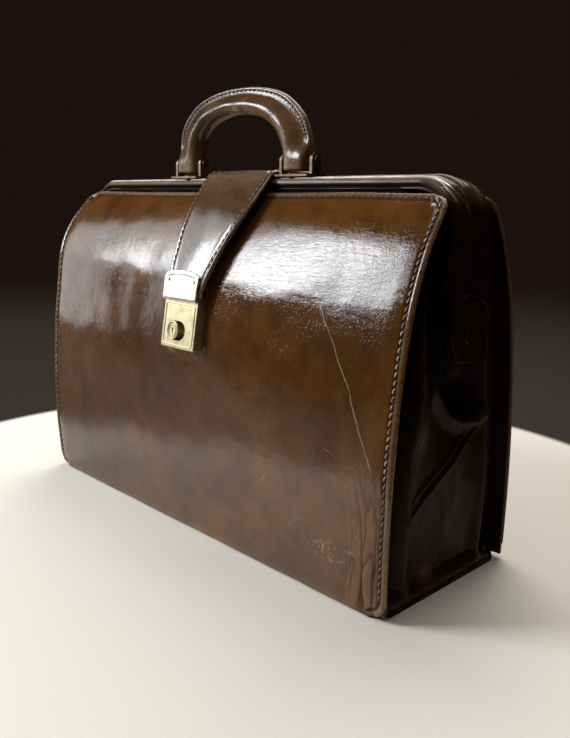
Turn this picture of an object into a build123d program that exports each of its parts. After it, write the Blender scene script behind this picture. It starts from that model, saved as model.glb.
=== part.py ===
"""Doctor bag with a hinged steel frame, a slide lock, an over-strap and a swinging handle.

Millimetres, +Z up. The origin is on the floor plane under the middle of the bag. The front,
with the lock, faces -Y, and +X is to the right when the bag is seen from the front.
"""
import os
from math import cos, sin, radians

from build123d import *

# ---------------------------------------------------------------- driving dimensions
BAG_LENGTH = 406.0            # a 16 inch bag
HALF_LENGTH = BAG_LENGTH / 2
LEATHER = 3.2                 # body leather
LINING = 0.8                  # cloth lining
LINING_GAP = 0.05             # between a lining and the leather under it
LINING_START = -LEATHER - LINING_GAP
LINING_EDGE = 6.0             # the lining stops this far inside the leather's ends
LINING_BOTTOM = 8.0
LINING_CORNER = 10.0
FLOOR_GAP = 0.4               # the side panels stop just above the floor

# Side wall profile, as half depth against height: a long belly arc, then a shoulder arc.
BELLY_DEPTH = 72.6
BELLY_HEIGHT = 60.0
BELLY_RADIUS = 816.0
SHOULDER_RADIUS = 129.8
JOIN_ANGLE = 9.02             # slope of the wall's normal where the two arcs meet
RIM_ANGLE = 44.1              # slope of the wall's normal at its top edge
PANEL_FOOT_RADIUS = 14.0
PANEL_RIM_RADIUS = 13.0
PANEL_RIM_OVERSHOOT = 2.5     # the corner arc ends this far above the rim, so it meets it at an angle

# Base
BASE_HALF_WIDTH = 66.5
BASE_HALF_LENGTH = 200.0
BASE_CORNER = 10.0
BOARD_THICKNESS = 2.5
BOARD_CORNER = 8.0
BOARD_INSET_X = 5.0
BOARD_INSET_Y = 2.5
BASE_LINING_INSET = 1.0       # inside the board's edge
BASE_STACK = 7.2              # height at which the gussets start, above the bottom lining

# Gussets
GUSSET_WEB_X = 183.0
GUSSET_WEB = 5.0
GUSSET_WING = 9.0
GUSSET_TOP = 236.0
GUSSET_WING_TOP = 190.0
GUSSET_FOLD_Y = 43.0
GUSSET_CLEARANCE = 6.0        # from the wall's outer face
PROFILE_START = -5.0          # slope of the wall's normal below the floor, where its drawing starts

# Frame of two nested U-shaped jaws
FRAME_TOP = 274.0
FRAME_HALF_LENGTH = 206.0
FRAME_CORNER = 32.0
JAW_NEAR = 0.5                # face next to the other jaw
JAW_FAR = 21.0                # outer face
JAW_THICKNESS = 9.0
PIVOT_HEIGHT = 175.0
TONGUE_RADIUS = 19.0
TONGUE_RELIEF = 24.2          # cut in the other jaw's arm, around the tongue
ARM_LAYER = 3.4
ARM_LAYER_GAP = 0.4
STEEL_THICKNESS = 2.0
STEEL_NEAR = 4.0
STEEL_FAR = 17.0
STEEL_COVER = 0.7             # leather over the steel's outer face
PIVOT_PIN_RADIUS = 2.5
PIVOT_HOLE_RADIUS = 6.0       # clearance, because the linkage is opened at this pivot
PIVOT_HOLE_SHIFT_Y = 1.4
PIVOT_HOLE_SHIFT_Z = 0.3
STEEL_EDGE = 3.0              # from the tongue's edge to its steel
COVER_TOP_RADIUS = 4.4        # rolled edge along the jaw's top
STRIP_THICKNESS = 3.1
STRIP_BOTTOM = 246.0
STRIP_HALF_LENGTH = 172.0
STRIP_FLANGE = 1.3

# Handle
HANDLE_Y = -11.0
HANDLE_PIN_Z = 285.5
HANDLE_HALF_SPAN = 61.0
HANDLE_SHOULDER_Z = 290.0
HANDLE_ARCH_HEIGHT = 34.5
HANDLE_CORNER_RADIUS = 22.0
HANDLE_CORNER_TURN = 54.46
GRIP_RADIUS = 9.0
GRIP_CORE_RADIUS = 3.6
GRIP_FIN = 17.5               # from the grip's centreline to the sewn edge
GRIP_FIN_HALF = 2.6
GRIP_FIN_SIDE_TRIM = 1.5      # the fin is narrower down the legs
GRIP_FOOT_INNER = 50.0
GRIP_FOOT_OUTER = 77.0
GRIP_FOOT_RADIUS = 8.7
HANDLE_TUBE_RADIUS = 3.3
HANDLE_PIN_RADIUS = 1.9
RUNNING_CLEARANCE = 0.06
BRACKET_LENGTH = 36.0
BRACKET_WIDTH = 19.0
BRACKET_BASE = 1.5
BRACKET_CORNER = 2.0
EAR_THICKNESS = 2.4
EAR_X = (48.1, 78.9)
EAR_WIDTH = 9.0
BRACKET_RIVET_OFFSET = 7.0
PIN_OVERHANG = 1.6
PIN_HEAD_RADIUS = 3.0
RIVET_RADIUS = 1.3
RIVET_HEAD_RADIUS = 2.1
RIVET_HEAD = 0.9
HEAD_TAPER = 30               # degrees, of the small rivet heads
FRAME_RIVET_HEAD = 5.5
FRAME_RIVET_HEAD_HEIGHT = 1.4
FRAME_RIVET_TAPER = 35
FRAME_RIVET_TAIL = 2.8
FRAME_WASHER_RADIUS = 8.6
FRAME_WASHER_THICKNESS = 1.6

# Lock, drawn on a plane that leans with the wall: v runs up the wall, n runs outwards
LOCK_HALF_WIDTH = 20.5
LOCK_BOTTOM = -43.5
LOCK_CASE_TOP = -1.0
LOCK_PLATE_TOP = 16.0
LOCK_PLATE_BACK = 0.1
LOCK_PLATE_FRONT = 1.3
LOCK_FRONT = 7.5
LOCK_WALL = 1.3
BOSS_RADIUS = 7.0
BOSS_X = -5.0
BOSS_V = -30.0
BOSS_FRONT = 9.0
SLIDE_TRAVEL = 6.0
SLOT_CLEARANCE = 0.4
SLIDE_BACK = 1.7
SLIDE_FRONT = 3.2
KEY_RADIUS = 3.5
KEY_CLEARANCE = 0.15
KEYHOLE_RADIUS = 1.0
KEYHOLE_RISE = 1.0
KEYHOLE_SLOT = (0.9, 2.8)
KEYHOLE_SLOT_DROP = 0.9
KEYHOLE_DEPTH = 4.0
BOSS_GROOVE = (5.4, 6.2)      # inner and outer radius of the ring cut in the boss
BOSS_GROOVE_DEPTH = 0.5
SLIDE_LENGTH = 24.0
SLIDE_LEFT = -15.0
SLIDE_SIDE = 0.3              # the slide is this much wider than the boss, above and below
LOCK_PLATE_CORNER = 2.0
LOCK_CASE_CORNER = 1.6
LOCK_CASE_FILLET = 0.8
NOTCH_HALF = 8.0
NOTCH_BOTTOM = -6.6
BOLT_ARM_X = (6.5, 9.0)
BOLT_TIP_X = 1.8
BOLT_V = (-4.9, -2.7)
BOLT_HEIGHT = 2.3
BOLT_TIP_LIFT = 0.8
BOLT_TIP_HEIGHT = 1.5
SPRING_LEAF = 0.4
SPRING_REACH = 3.0
SPRING_HALF = 7.0
SPRING_INNER_HALF = 6.2
SPRING_WIDTH = 3.0
SPRING_GAP = 0.1
LOCK_RIVET_RADIUS = 1.4
LOCK_RIVET_HEAD = 2.3
LOCK_RIVET_HEAD_HEIGHT = 0.7
RIVET_TAIL = -6.4
RIVET_TAIL_TOP = -5.4
RIVET_TAIL_RADIUS = 3.0
LOCK_RIVET_X = 16.3
LOCK_RIVET_V = (-39.4, 12.0)

# Strap
STRAP_UNDER = 5.9             # under face, above the wall
STRAP_OVER = 9.0              # top face
STRAP_LINING_UNDER = 4.9
STRAP_SLOPE = 14.5            # straight stretch between the shoulder and the crest
STRAP_CREST_DROP = 5.0        # the crest arcs' radius is this much more than the face's offset
STRAP_BACK = 20.5
STRAP_RIVET_X = 18.0
STRAP_RIVET_Y = 12.0
STRAP_TOP_CENTRE = 5.0        # the strap drifts to the right of the lock at the top
STRAP_FOOT_HALF = 20.5
STRAP_TOP_HALF = 37.0
STRAP_FOOT_Z = 180.0
STRAP_SHOULDER_Z = 265.0
STRAP_FLARE = 0.8             # below 1, the strap widens sooner above the lock
STRAP_EDGE_MIDDLE = 0.55
STRAP_RIVET_HEAD = (4.0, 1.4)  # radius and height of the dome
STRAP_RIVET_TAPER = 40
HASP_BACK = 9.5
HASP_FRONT = 10.7
HASP_BOTTOM = -7.0
HASP_SIDE_TOP = 10.0
HASP_TOP = 16.0
HASP_RIVET_X = 15.5
HASP_RIVET_V = 8.0
HASP_HALF = 21.0
HASP_CORNER = 1.5
HASP_RIVET_RADIUS = 0.9
HASP_RIVET_BACK = 4.2
HASP_RIVET_HEAD = (1.5, 0.5)   # radius and height
STAPLE_HALF = 1.2
STAPLE_V = (-6.0, -1.6)
STAPLE_BACK = 3.0
STAPLE_EYE = (3.9, 1.8)        # depth of the eye's near side, and its height
STAPLE_EYE_GAP = 0.1

belly_centre = (BELLY_DEPTH - BELLY_RADIUS, BELLY_HEIGHT)
join_point = (
    belly_centre[0] + BELLY_RADIUS * cos(radians(JOIN_ANGLE)),
    belly_centre[1] + BELLY_RADIUS * sin(radians(JOIN_ANGLE)),
)
shoulder_centre = (
    join_point[0] - SHOULDER_RADIUS * cos(radians(JOIN_ANGLE)),
    join_point[1] - SHOULDER_RADIUS * sin(radians(JOIN_ANGLE)),
)
lock_plane = Plane(
    origin=(0, -join_point[0], join_point[1]),
    x_dir=(1, 0, 0),
    z_dir=(0, -cos(radians(JOIN_ANGLE)), sin(radians(JOIN_ANGLE))),
)
os.makedirs("parts", exist_ok=True)


def finish(piece, label):
    """Name a finished piece and write it."""
    piece.part.label = label
    export_step(piece.part, f"parts/{label}.step")


# ---------------------------------------------------------------- the wall's profile
def wall_point(angle, offset):
    """A point of the front wall's profile, in the YZ plane, moved outwards by offset."""
    on_belly = angle <= JOIN_ANGLE
    centre = belly_centre if on_belly else shoulder_centre
    radius = (BELLY_RADIUS if on_belly else SHOULDER_RADIUS) + offset
    depth = centre[0] + radius * cos(radians(angle))
    return (-depth, centre[1] + radius * sin(radians(angle)))


def wall_arc(start, end, offset):
    """One arc of the profile, between two slopes of its normal."""
    middle = (start + end) / 2
    return ThreePointArc(wall_point(start, offset), wall_point(middle, offset), wall_point(end, offset))


def shoulder_point(angle, offset):
    """A point of the shoulder's arc in the YZ plane, also where it starts exactly at the join."""
    radius = SHOULDER_RADIUS + offset
    depth = shoulder_centre[0] + radius * cos(radians(angle))
    return (-depth, shoulder_centre[1] + radius * sin(radians(angle)))


def shoulder_arc(start, end, offset):
    """The shoulder's arc between two slopes of its normal."""
    middle = (start + end) / 2
    return ThreePointArc(
        shoulder_point(start, offset), shoulder_point(middle, offset), shoulder_point(end, offset)
    )


def wall_sheet(under, over, half_length, bottom, foot_radius):
    """A curved front sheet between two offsets of the profile, with rounded corners."""
    rim = wall_point(RIM_ANGLE, over)
    with BuildPart() as sheet:
        with BuildSketch(Plane.YZ):
            with BuildLine():
                wall_arc(PROFILE_START, JOIN_ANGLE, over)
                shoulder_arc(JOIN_ANGLE, RIM_ANGLE, over)
                Line(wall_point(RIM_ANGLE, over), wall_point(RIM_ANGLE, under))
                shoulder_arc(RIM_ANGLE, JOIN_ANGLE, under)
                wall_arc(JOIN_ANGLE, PROFILE_START, under)
                Line(wall_point(PROFILE_START, under), wall_point(PROFILE_START, over))
            make_face()
        extrude(amount=half_length, both=True)
        with BuildSketch(Plane.XZ) as outline:
            with BuildLine():
                Polyline(
                    (-half_length, bottom),
                    (half_length, bottom),
                    (half_length, rim[1] + PANEL_RIM_OVERSHOOT),
                    (-half_length, rim[1] + PANEL_RIM_OVERSHOOT),
                    close=True,
                )
            make_face()
            fillet(outline.vertices().group_by(Axis.Y)[0], radius=foot_radius)
            fillet(outline.vertices().group_by(Axis.Y)[-1], radius=PANEL_RIM_RADIUS)
        extrude(amount=BASE_HALF_WIDTH * 2, both=True, mode=Mode.INTERSECT)
    return sheet.part


def lock_locations(x, rows):
    """Mirrored pairs of places on the lock plane."""
    return Locations(*[(side * x, row) for side in (-1, 1) for row in rows])


def front_sheet_with_holes(under, over, half_length, bottom, foot_radius):
    """A front sheet with the lock's four rivet holes through it."""
    with BuildPart() as sheet:
        add(wall_sheet(under, over, half_length, bottom, foot_radius))
        with BuildSketch(lock_plane.offset(2)):
            with lock_locations(LOCK_RIVET_X, LOCK_RIVET_V):
                Circle(LOCK_RIVET_RADIUS + RUNNING_CLEARANCE)
        extrude(amount=-12, mode=Mode.SUBTRACT)
    return sheet.part


# ---------------------------------------------------------------- base and gussets
with BuildPart() as bottom_panel:
    with BuildSketch():
        RectangleRounded(2 * BASE_HALF_LENGTH, 2 * BASE_HALF_WIDTH, BASE_CORNER)
    extrude(amount=LEATHER)
finish(bottom_panel, "bottom_panel")

board_length = 2 * (BASE_HALF_LENGTH - BOARD_INSET_X)
board_width = 2 * (BASE_HALF_WIDTH - BOARD_INSET_Y)
with BuildPart() as bottom_board:
    with BuildSketch(Plane.XY.offset(LEATHER)):
        RectangleRounded(board_length, board_width, BOARD_CORNER)
    extrude(amount=BOARD_THICKNESS)
finish(bottom_board, "bottom_board")

with BuildPart() as bottom_lining:
    with BuildSketch(Plane.XY.offset(LEATHER + BOARD_THICKNESS)):
        lining_size = (board_length - 2 * BASE_LINING_INSET, board_width - 2 * BASE_LINING_INSET)
        RectangleRounded(*lining_size, BOARD_CORNER)
    extrude(amount=LINING)
finish(bottom_lining, "bottom_lining")


def gusset_profile(top):
    """The space between the two walls, up to a height, as a closed YZ outline."""
    near = -GUSSET_CLEARANCE
    with BuildSketch(Plane.YZ) as half:
        with BuildLine():
            wall_arc(PROFILE_START, JOIN_ANGLE, near)
            shoulder_arc(JOIN_ANGLE, RIM_ANGLE, near)
            Polyline(
                wall_point(RIM_ANGLE, near),
                (0, wall_point(RIM_ANGLE, near)[1]),
                (0, wall_point(PROFILE_START, near)[1]),
                wall_point(PROFILE_START, near),
            )
        make_face()
        mirror(about=Plane.YZ)
        with Locations((0, (BASE_STACK + top) / 2)):
            Rectangle(2 * BAG_LENGTH, top - BASE_STACK, mode=Mode.INTERSECT)
    return half.sketch


def gusset():
    """The right gusset: a recessed web with a forward wing along each wall."""
    with BuildPart() as piece:
        with BuildSketch(Plane.YZ.offset(GUSSET_WEB_X)):
            add(Plane.YZ.to_local_coords(gusset_profile(GUSSET_TOP)))
        extrude(amount=GUSSET_WEB)
        with BuildSketch(Plane.YZ.offset(GUSSET_WEB_X + GUSSET_WEB)):
            add(Plane.YZ.to_local_coords(gusset_profile(GUSSET_WING_TOP)))
            Rectangle(2 * GUSSET_FOLD_Y, 3 * GUSSET_TOP, mode=Mode.SUBTRACT)
        extrude(amount=GUSSET_WING)
    return piece.part


with BuildPart() as gusset_right:
    add(gusset())
finish(gusset_right, "gusset_right")

with BuildPart() as gusset_left:
    add(gusset().mirror(Plane.YZ))
finish(gusset_left, "gusset_left")

# ---------------------------------------------------------------- front and back walls
lining_outline = (HALF_LENGTH - LINING_EDGE, LINING_BOTTOM, LINING_CORNER)
with BuildPart() as front_panel:
    add(front_sheet_with_holes(-LEATHER, 0, HALF_LENGTH, FLOOR_GAP, PANEL_FOOT_RADIUS))
finish(front_panel, "front_panel")

with BuildPart() as front_lining:
    add(front_sheet_with_holes(LINING_START - LINING, LINING_START, *lining_outline))
finish(front_lining, "front_lining")

with BuildPart() as back_panel:
    add(wall_sheet(-LEATHER, 0, HALF_LENGTH, FLOOR_GAP, PANEL_FOOT_RADIUS).mirror(Plane.XZ))
finish(back_panel, "back_panel")

with BuildPart() as back_lining:
    add(wall_sheet(LINING_START - LINING, LINING_START, *lining_outline).mirror(Plane.XZ))
finish(back_lining, "back_lining")


# ---------------------------------------------------------------- frame jaws
def jaw_outline(inset, thickness, bottom):
    """A U in the XZ plane, a given distance inside the frame's outer outline."""
    outer_x = FRAME_HALF_LENGTH - inset
    top = FRAME_TOP - inset
    corner = FRAME_CORNER - inset
    with BuildSketch() as outline:
        with Locations((0, top / 2)):
            Rectangle(2 * outer_x, top)
        fillet(outline.vertices().group_by(Axis.Y)[-1], radius=corner)
        with BuildSketch(mode=Mode.PRIVATE) as inside:
            with Locations((0, (top - thickness) / 2)):
                Rectangle(2 * (outer_x - thickness), top - thickness)
            fillet(inside.vertices().group_by(Axis.Y)[-1], radius=corner - thickness)
        add(inside.sketch, mode=Mode.SUBTRACT)
        with Locations((0, bottom / 2)):
            Rectangle(4 * outer_x, bottom, mode=Mode.SUBTRACT)
    return outline.sketch


def layer_start(is_outer):
    """Where this jaw's half of the arm's thickness starts, measured inwards from the outline."""
    return 0.0 if is_outer else ARM_LAYER + ARM_LAYER_GAP


def tongue(piece_half_width, radius, inset, thickness, hole_radius, hole_y, hole_z):
    """The flat round end of both arms, on the right and mirrored to the left."""
    near_x = FRAME_HALF_LENGTH - inset - thickness
    with BuildPart() as ends:
        with BuildSketch(Plane.YZ.offset(near_x)):
            with Locations((0, PIVOT_HEIGHT)):
                Circle(radius)
            with Locations((-JAW_NEAR - piece_half_width, PIVOT_HEIGHT + TONGUE_RELIEF / 2 + 1)):
                Rectangle(2 * piece_half_width, TONGUE_RELIEF + 2)
            with Locations((-hole_y, PIVOT_HEIGHT + hole_z)):
                Circle(hole_radius, mode=Mode.SUBTRACT)
        extrude(amount=thickness)
        mirror(about=Plane.YZ)
    return ends.part


def jaw_steel(is_outer):
    """A flat steel U whose arms lie in this jaw's own layer, drawn on the front side."""
    inset = layer_start(is_outer) + STEEL_COVER
    hole = PIVOT_PIN_RADIUS if is_outer else PIVOT_HOLE_RADIUS
    shift_y = 0 if is_outer else PIVOT_HOLE_SHIFT_Y
    shift_z = 0 if is_outer else PIVOT_HOLE_SHIFT_Z
    with BuildPart() as bar:
        with BuildSketch(Plane.XZ.offset(STEEL_NEAR)):
            add(jaw_outline(inset, STEEL_THICKNESS, PIVOT_HEIGHT + TONGUE_RELIEF))
        extrude(amount=STEEL_FAR - STEEL_NEAR)
        half_width = (STEEL_FAR - STEEL_NEAR) / 2
        ends = tongue(half_width, TONGUE_RADIUS - STEEL_EDGE, inset, STEEL_THICKNESS, hole, shift_y, shift_z)
        with BuildSketch(Plane.YZ.offset(-HALF_LENGTH * 2)) as keep:
            with Locations((-(STEEL_NEAR + half_width), PIVOT_HEIGHT + TONGUE_RELIEF / 2)):
                Rectangle(2 * half_width, TONGUE_RELIEF + 4)
            with Locations((0, PIVOT_HEIGHT)):
                Circle(TONGUE_RADIUS - STEEL_EDGE)
        trim = extrude(keep.sketch, amount=HALF_LENGTH * 4, mode=Mode.PRIVATE)
        add(ends & trim)
    return bar.part


def jaw_cover(is_outer):
    """The leather over a jaw: a hollow U with thin tongues, drawn on the front side."""
    inset = layer_start(is_outer)
    hole = PIVOT_PIN_RADIUS if is_outer else PIVOT_HOLE_RADIUS
    shift_y = 0 if is_outer else PIVOT_HOLE_SHIFT_Y
    shift_z = 0 if is_outer else PIVOT_HOLE_SHIFT_Z
    relief_x = FRAME_HALF_LENGTH - JAW_THICKNESS / 2
    with BuildPart() as cover:
        with BuildSketch(Plane.XZ.offset(JAW_NEAR)):
            add(jaw_outline(0, JAW_THICKNESS, PIVOT_HEIGHT))
        extrude(amount=JAW_FAR - JAW_NEAR)
        top_front = cover.edges().filter_by(Axis.X).group_by(Axis.Z)[-1].sort_by(Axis.Y)[0]
        fillet(top_front, radius=COVER_TOP_RADIUS)
        with Locations((relief_x, 0, PIVOT_HEIGHT), (-relief_x, 0, PIVOT_HEIGHT)):
            Cylinder(TONGUE_RELIEF, JAW_THICKNESS + 2, rotation=(0, 90, 0), mode=Mode.SUBTRACT)
        half_width = (JAW_FAR - JAW_NEAR) / 2
        add(tongue(half_width, TONGUE_RADIUS, inset, ARM_LAYER, hole, shift_y, shift_z))
        add(jaw_steel(is_outer), mode=Mode.SUBTRACT)
    return cover.part


def frame_strip():
    """The welt between the front wall and its jaw, with a flange under the jaw."""
    front = JAW_FAR + 0.1 + STRIP_THICKNESS
    top = FRAME_TOP - JAW_THICKNESS
    with BuildPart() as strip:
        with BuildSketch(Plane.YZ):
            with BuildLine():
                Polyline(
                    (-front, STRIP_BOTTOM),
                    (-front, top - LINING_GAP),
                    (-JAW_FAR / 2, top - LINING_GAP),
                    (-JAW_FAR / 2, top - STRIP_FLANGE),
                    (STRIP_THICKNESS - front, top - STRIP_FLANGE),
                    (STRIP_THICKNESS - front, STRIP_BOTTOM),
                    close=True,
                )
            make_face()
        extrude(amount=STRIP_HALF_LENGTH, both=True)
    return strip.part


bracket_places = [(side * HANDLE_HALF_SPAN, HANDLE_Y + step * BRACKET_RIVET_OFFSET) for side in (-1, 1)
                  for step in (-1, 1)]


def bracket_rivet_bores(piece):
    """Holes for the bracket rivets down through a piece."""
    with BuildPart() as drilled:
        add(piece)
        with BuildSketch(Plane.XY.offset(FRAME_TOP + 4)):
            with Locations(*bracket_places):
                Circle(RIVET_RADIUS)
        extrude(amount=-20, mode=Mode.SUBTRACT)
    return drilled.part


def strap_rivet_bores(piece, radius):
    """Holes for the strap rivets down through a piece of the back frame or the strap."""
    with BuildPart() as drilled:
        add(piece)
        with BuildSketch(Plane.XY.offset(FRAME_TOP + 8)):
            with Locations(*strap_rivet_places):
                Circle(radius)
        extrude(amount=-24, mode=Mode.SUBTRACT)
    return drilled.part


strap_rivet_places = [(STRAP_TOP_CENTRE + side * STRAP_RIVET_X, STRAP_RIVET_Y) for side in (-1, 1)]

with BuildPart() as front_jaw_steel:
    add(bracket_rivet_bores(jaw_steel(True)))
finish(front_jaw_steel, "front_jaw_steel")

with BuildPart() as front_jaw_cover:
    add(bracket_rivet_bores(jaw_cover(True)))
finish(front_jaw_cover, "front_jaw_cover")

with BuildPart() as back_jaw_steel:
    add(strap_rivet_bores(jaw_steel(False).mirror(Plane.XZ), RIVET_RADIUS))
finish(back_jaw_steel, "back_jaw_steel")

with BuildPart() as back_jaw_cover:
    add(strap_rivet_bores(jaw_cover(False).mirror(Plane.XZ), RIVET_RADIUS))
finish(back_jaw_cover, "back_jaw_cover")

with BuildPart() as front_frame_strip:
    add(frame_strip())
finish(front_frame_strip, "front_frame_strip")

with BuildPart() as back_frame_strip:
    add(frame_strip().mirror(Plane.XZ))
finish(back_frame_strip, "back_frame_strip")

washer_outer_x = FRAME_HALF_LENGTH - layer_start(False) - ARM_LAYER - ARM_LAYER_GAP
with BuildPart() as frame_rivets:
    with BuildSketch(Plane.YZ.offset(washer_outer_x - FRAME_RIVET_TAIL)):
        with Locations((0, PIVOT_HEIGHT)):
            Circle(PIVOT_PIN_RADIUS)
    extrude(amount=FRAME_HALF_LENGTH - washer_outer_x + FRAME_RIVET_TAIL)
    with BuildSketch(Plane.YZ.offset(FRAME_HALF_LENGTH)):
        with Locations((0, PIVOT_HEIGHT)):
            Circle(FRAME_RIVET_HEAD)
    extrude(amount=FRAME_RIVET_HEAD_HEIGHT, taper=FRAME_RIVET_TAPER)
    mirror(about=Plane.YZ)
finish(frame_rivets, "frame_rivets")

with BuildPart() as frame_washers:
    with BuildSketch(Plane.YZ.offset(washer_outer_x - FRAME_WASHER_THICKNESS)):
        with Locations((0, PIVOT_HEIGHT)):
            Circle(FRAME_WASHER_RADIUS)
            Circle(PIVOT_PIN_RADIUS, mode=Mode.SUBTRACT)
    extrude(amount=FRAME_WASHER_THICKNESS)
    mirror(about=Plane.YZ)
finish(frame_washers, "frame_washers")

# ---------------------------------------------------------------- handle and its brackets
EAR_TOP_RADIUS = EAR_WIDTH / 2


def handle_bracket():
    """The right bracket: a base plate with two round-topped ears around the handle's foot."""
    base_top = FRAME_TOP + BRACKET_BASE
    centre_x = sum(EAR_X) / 2
    with BuildPart() as piece:
        with BuildSketch(Plane.XY.offset(FRAME_TOP)):
            with Locations((centre_x, HANDLE_Y)):
                RectangleRounded(BRACKET_LENGTH, BRACKET_WIDTH, BRACKET_CORNER)
            with Locations(*[place for place in bracket_places if place[0] > 0]):
                Circle(RIVET_RADIUS, mode=Mode.SUBTRACT)
        extrude(amount=BRACKET_BASE)
        for ear_x in EAR_X:
            with BuildSketch(Plane.YZ.offset(ear_x - EAR_THICKNESS / 2)):
                with Locations((HANDLE_Y, HANDLE_PIN_Z)):
                    Circle(EAR_TOP_RADIUS)
                with Locations((HANDLE_Y, (HANDLE_PIN_Z + base_top) / 2)):
                    Rectangle(EAR_WIDTH, HANDLE_PIN_Z - base_top)
                with Locations((HANDLE_Y, HANDLE_PIN_Z)):
                    Circle(HANDLE_PIN_RADIUS, mode=Mode.SUBTRACT)
            extrude(amount=EAR_THICKNESS)
    return piece.part


with BuildPart() as handle_bracket_right:
    add(handle_bracket())
finish(handle_bracket_right, "handle_bracket_right")

with BuildPart() as handle_bracket_left:
    add(handle_bracket().mirror(Plane.YZ))
finish(handle_bracket_left, "handle_bracket_left")

with BuildPart() as bracket_rivets:
    with BuildSketch(Plane.XY.offset(FRAME_TOP - JAW_THICKNESS)):
        with Locations(*bracket_places):
            Circle(RIVET_RADIUS)
    extrude(amount=JAW_THICKNESS + BRACKET_BASE)
    with BuildSketch(Plane.XY.offset(FRAME_TOP + BRACKET_BASE)):
        with Locations(*bracket_places):
            Circle(RIVET_HEAD_RADIUS)
    extrude(amount=RIVET_HEAD, taper=HEAD_TAPER)
finish(bracket_rivets, "bracket_rivets")

pin_inner = EAR_X[0] - EAR_THICKNESS / 2
pin_outer = EAR_X[1] + EAR_THICKNESS / 2
with BuildPart() as handle_pins:
    with BuildSketch(Plane.YZ.offset(pin_inner - PIN_OVERHANG)):
        with Locations((HANDLE_Y, HANDLE_PIN_Z)):
            Circle(HANDLE_PIN_RADIUS)
    extrude(amount=pin_outer - pin_inner + PIN_OVERHANG)
    for face_x in (pin_inner - PIN_OVERHANG, pin_outer):
        with BuildSketch(Plane.YZ.offset(face_x)):
            with Locations((HANDLE_Y, HANDLE_PIN_Z)):
                Circle(PIN_HEAD_RADIUS)
        extrude(amount=PIN_OVERHANG)
    mirror(about=Plane.YZ)
finish(handle_pins, "handle_pins")


def handle_centreline():
    """The grip's centreline in the XZ plane: two legs, two corner arcs and a crown arc."""
    corner_x = HANDLE_HALF_SPAN - HANDLE_CORNER_RADIUS
    crown_z = HANDLE_SHOULDER_Z + HANDLE_ARCH_HEIGHT
    half_turn = radians(HANDLE_CORNER_TURN / 2)
    turn = radians(HANDLE_CORNER_TURN)
    middle = (
        corner_x + HANDLE_CORNER_RADIUS * cos(half_turn),
        HANDLE_SHOULDER_Z + HANDLE_CORNER_RADIUS * sin(half_turn),
    )
    end = (
        corner_x + HANDLE_CORNER_RADIUS * cos(turn),
        HANDLE_SHOULDER_Z + HANDLE_CORNER_RADIUS * sin(turn),
    )
    with BuildLine(Plane.XZ.offset(-HANDLE_Y)) as path:
        Line((HANDLE_HALF_SPAN, HANDLE_PIN_Z), (HANDLE_HALF_SPAN, HANDLE_SHOULDER_Z))
        ThreePointArc((HANDLE_HALF_SPAN, HANDLE_SHOULDER_Z), middle, end)
        ThreePointArc(end, (0, crown_z), (-end[0], end[1]))
        ThreePointArc((-end[0], end[1]), (-middle[0], middle[1]), (-HANDLE_HALF_SPAN, HANDLE_SHOULDER_Z))
        Line((-HANDLE_HALF_SPAN, HANDLE_SHOULDER_Z), (-HANDLE_HALF_SPAN, HANDLE_PIN_Z))
    return path.line


def rope_along_handle(radius):
    """A round rope swept along the grip's centreline."""
    with BuildPart() as rope:
        with BuildLine():
            add(handle_centreline())
        start = Plane(origin=(HANDLE_HALF_SPAN, HANDLE_Y, HANDLE_PIN_Z), z_dir=(0, 0, 1))
        with BuildSketch(start):
            Circle(radius)
        sweep()
    return rope.part


with BuildPart() as handle_leather:
    add(rope_along_handle(GRIP_RADIUS))
    with BuildSketch(Plane.XZ.offset(-HANDLE_Y)):
        with Locations((0, HANDLE_SHOULDER_Z)):
            Ellipse(HANDLE_HALF_SPAN + GRIP_FIN - GRIP_FIN_SIDE_TRIM, HANDLE_ARCH_HEIGHT + GRIP_FIN)
            Ellipse(HANDLE_HALF_SPAN, HANDLE_ARCH_HEIGHT, mode=Mode.SUBTRACT)
            Rectangle(4 * HANDLE_HALF_SPAN, 4 * HANDLE_HALF_SPAN, mode=Mode.SUBTRACT,
                      align=(Align.CENTER, Align.MAX))
    extrude(amount=GRIP_FIN_HALF, both=True)
    foot_length = GRIP_FOOT_OUTER - GRIP_FOOT_INNER
    foot_centre = (GRIP_FOOT_OUTER + GRIP_FOOT_INNER) / 2
    with Locations((foot_centre, HANDLE_Y, HANDLE_PIN_Z), (-foot_centre, HANDLE_Y, HANDLE_PIN_Z)):
        Cylinder(GRIP_FOOT_RADIUS, foot_length, rotation=(0, 90, 0))
    for tube_side in (-1, 1):
        with Locations((tube_side * foot_centre, HANDLE_Y, HANDLE_PIN_Z)):
            Cylinder(HANDLE_TUBE_RADIUS, foot_length + 4, rotation=(0, 90, 0), mode=Mode.SUBTRACT)
    add(rope_along_handle(GRIP_CORE_RADIUS), mode=Mode.SUBTRACT)
finish(handle_leather, "handle_leather")

with BuildPart() as handle_core:
    add(rope_along_handle(GRIP_CORE_RADIUS))
    with Locations((foot_centre, HANDLE_Y, HANDLE_PIN_Z), (-foot_centre, HANDLE_Y, HANDLE_PIN_Z)):
        Cylinder(HANDLE_TUBE_RADIUS, foot_length, rotation=(0, 90, 0), mode=Mode.SUBTRACT)
finish(handle_core, "handle_core")

with BuildPart() as handle_tubes:
    with Locations((foot_centre, HANDLE_Y, HANDLE_PIN_Z), (-foot_centre, HANDLE_Y, HANDLE_PIN_Z)):
        Cylinder(HANDLE_TUBE_RADIUS, foot_length, rotation=(0, 90, 0))
        Cylinder(HANDLE_PIN_RADIUS + RUNNING_CLEARANCE, foot_length, rotation=(0, 90, 0), mode=Mode.SUBTRACT)
finish(handle_tubes, "handle_tubes")


# ---------------------------------------------------------------- lock on the front wall
def lock_slab(low_n, high_n):
    """The lock plane, moved out to the lower of two depths, and the thickness up to the other."""
    return lock_plane.offset(low_n), high_n - low_n


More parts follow.
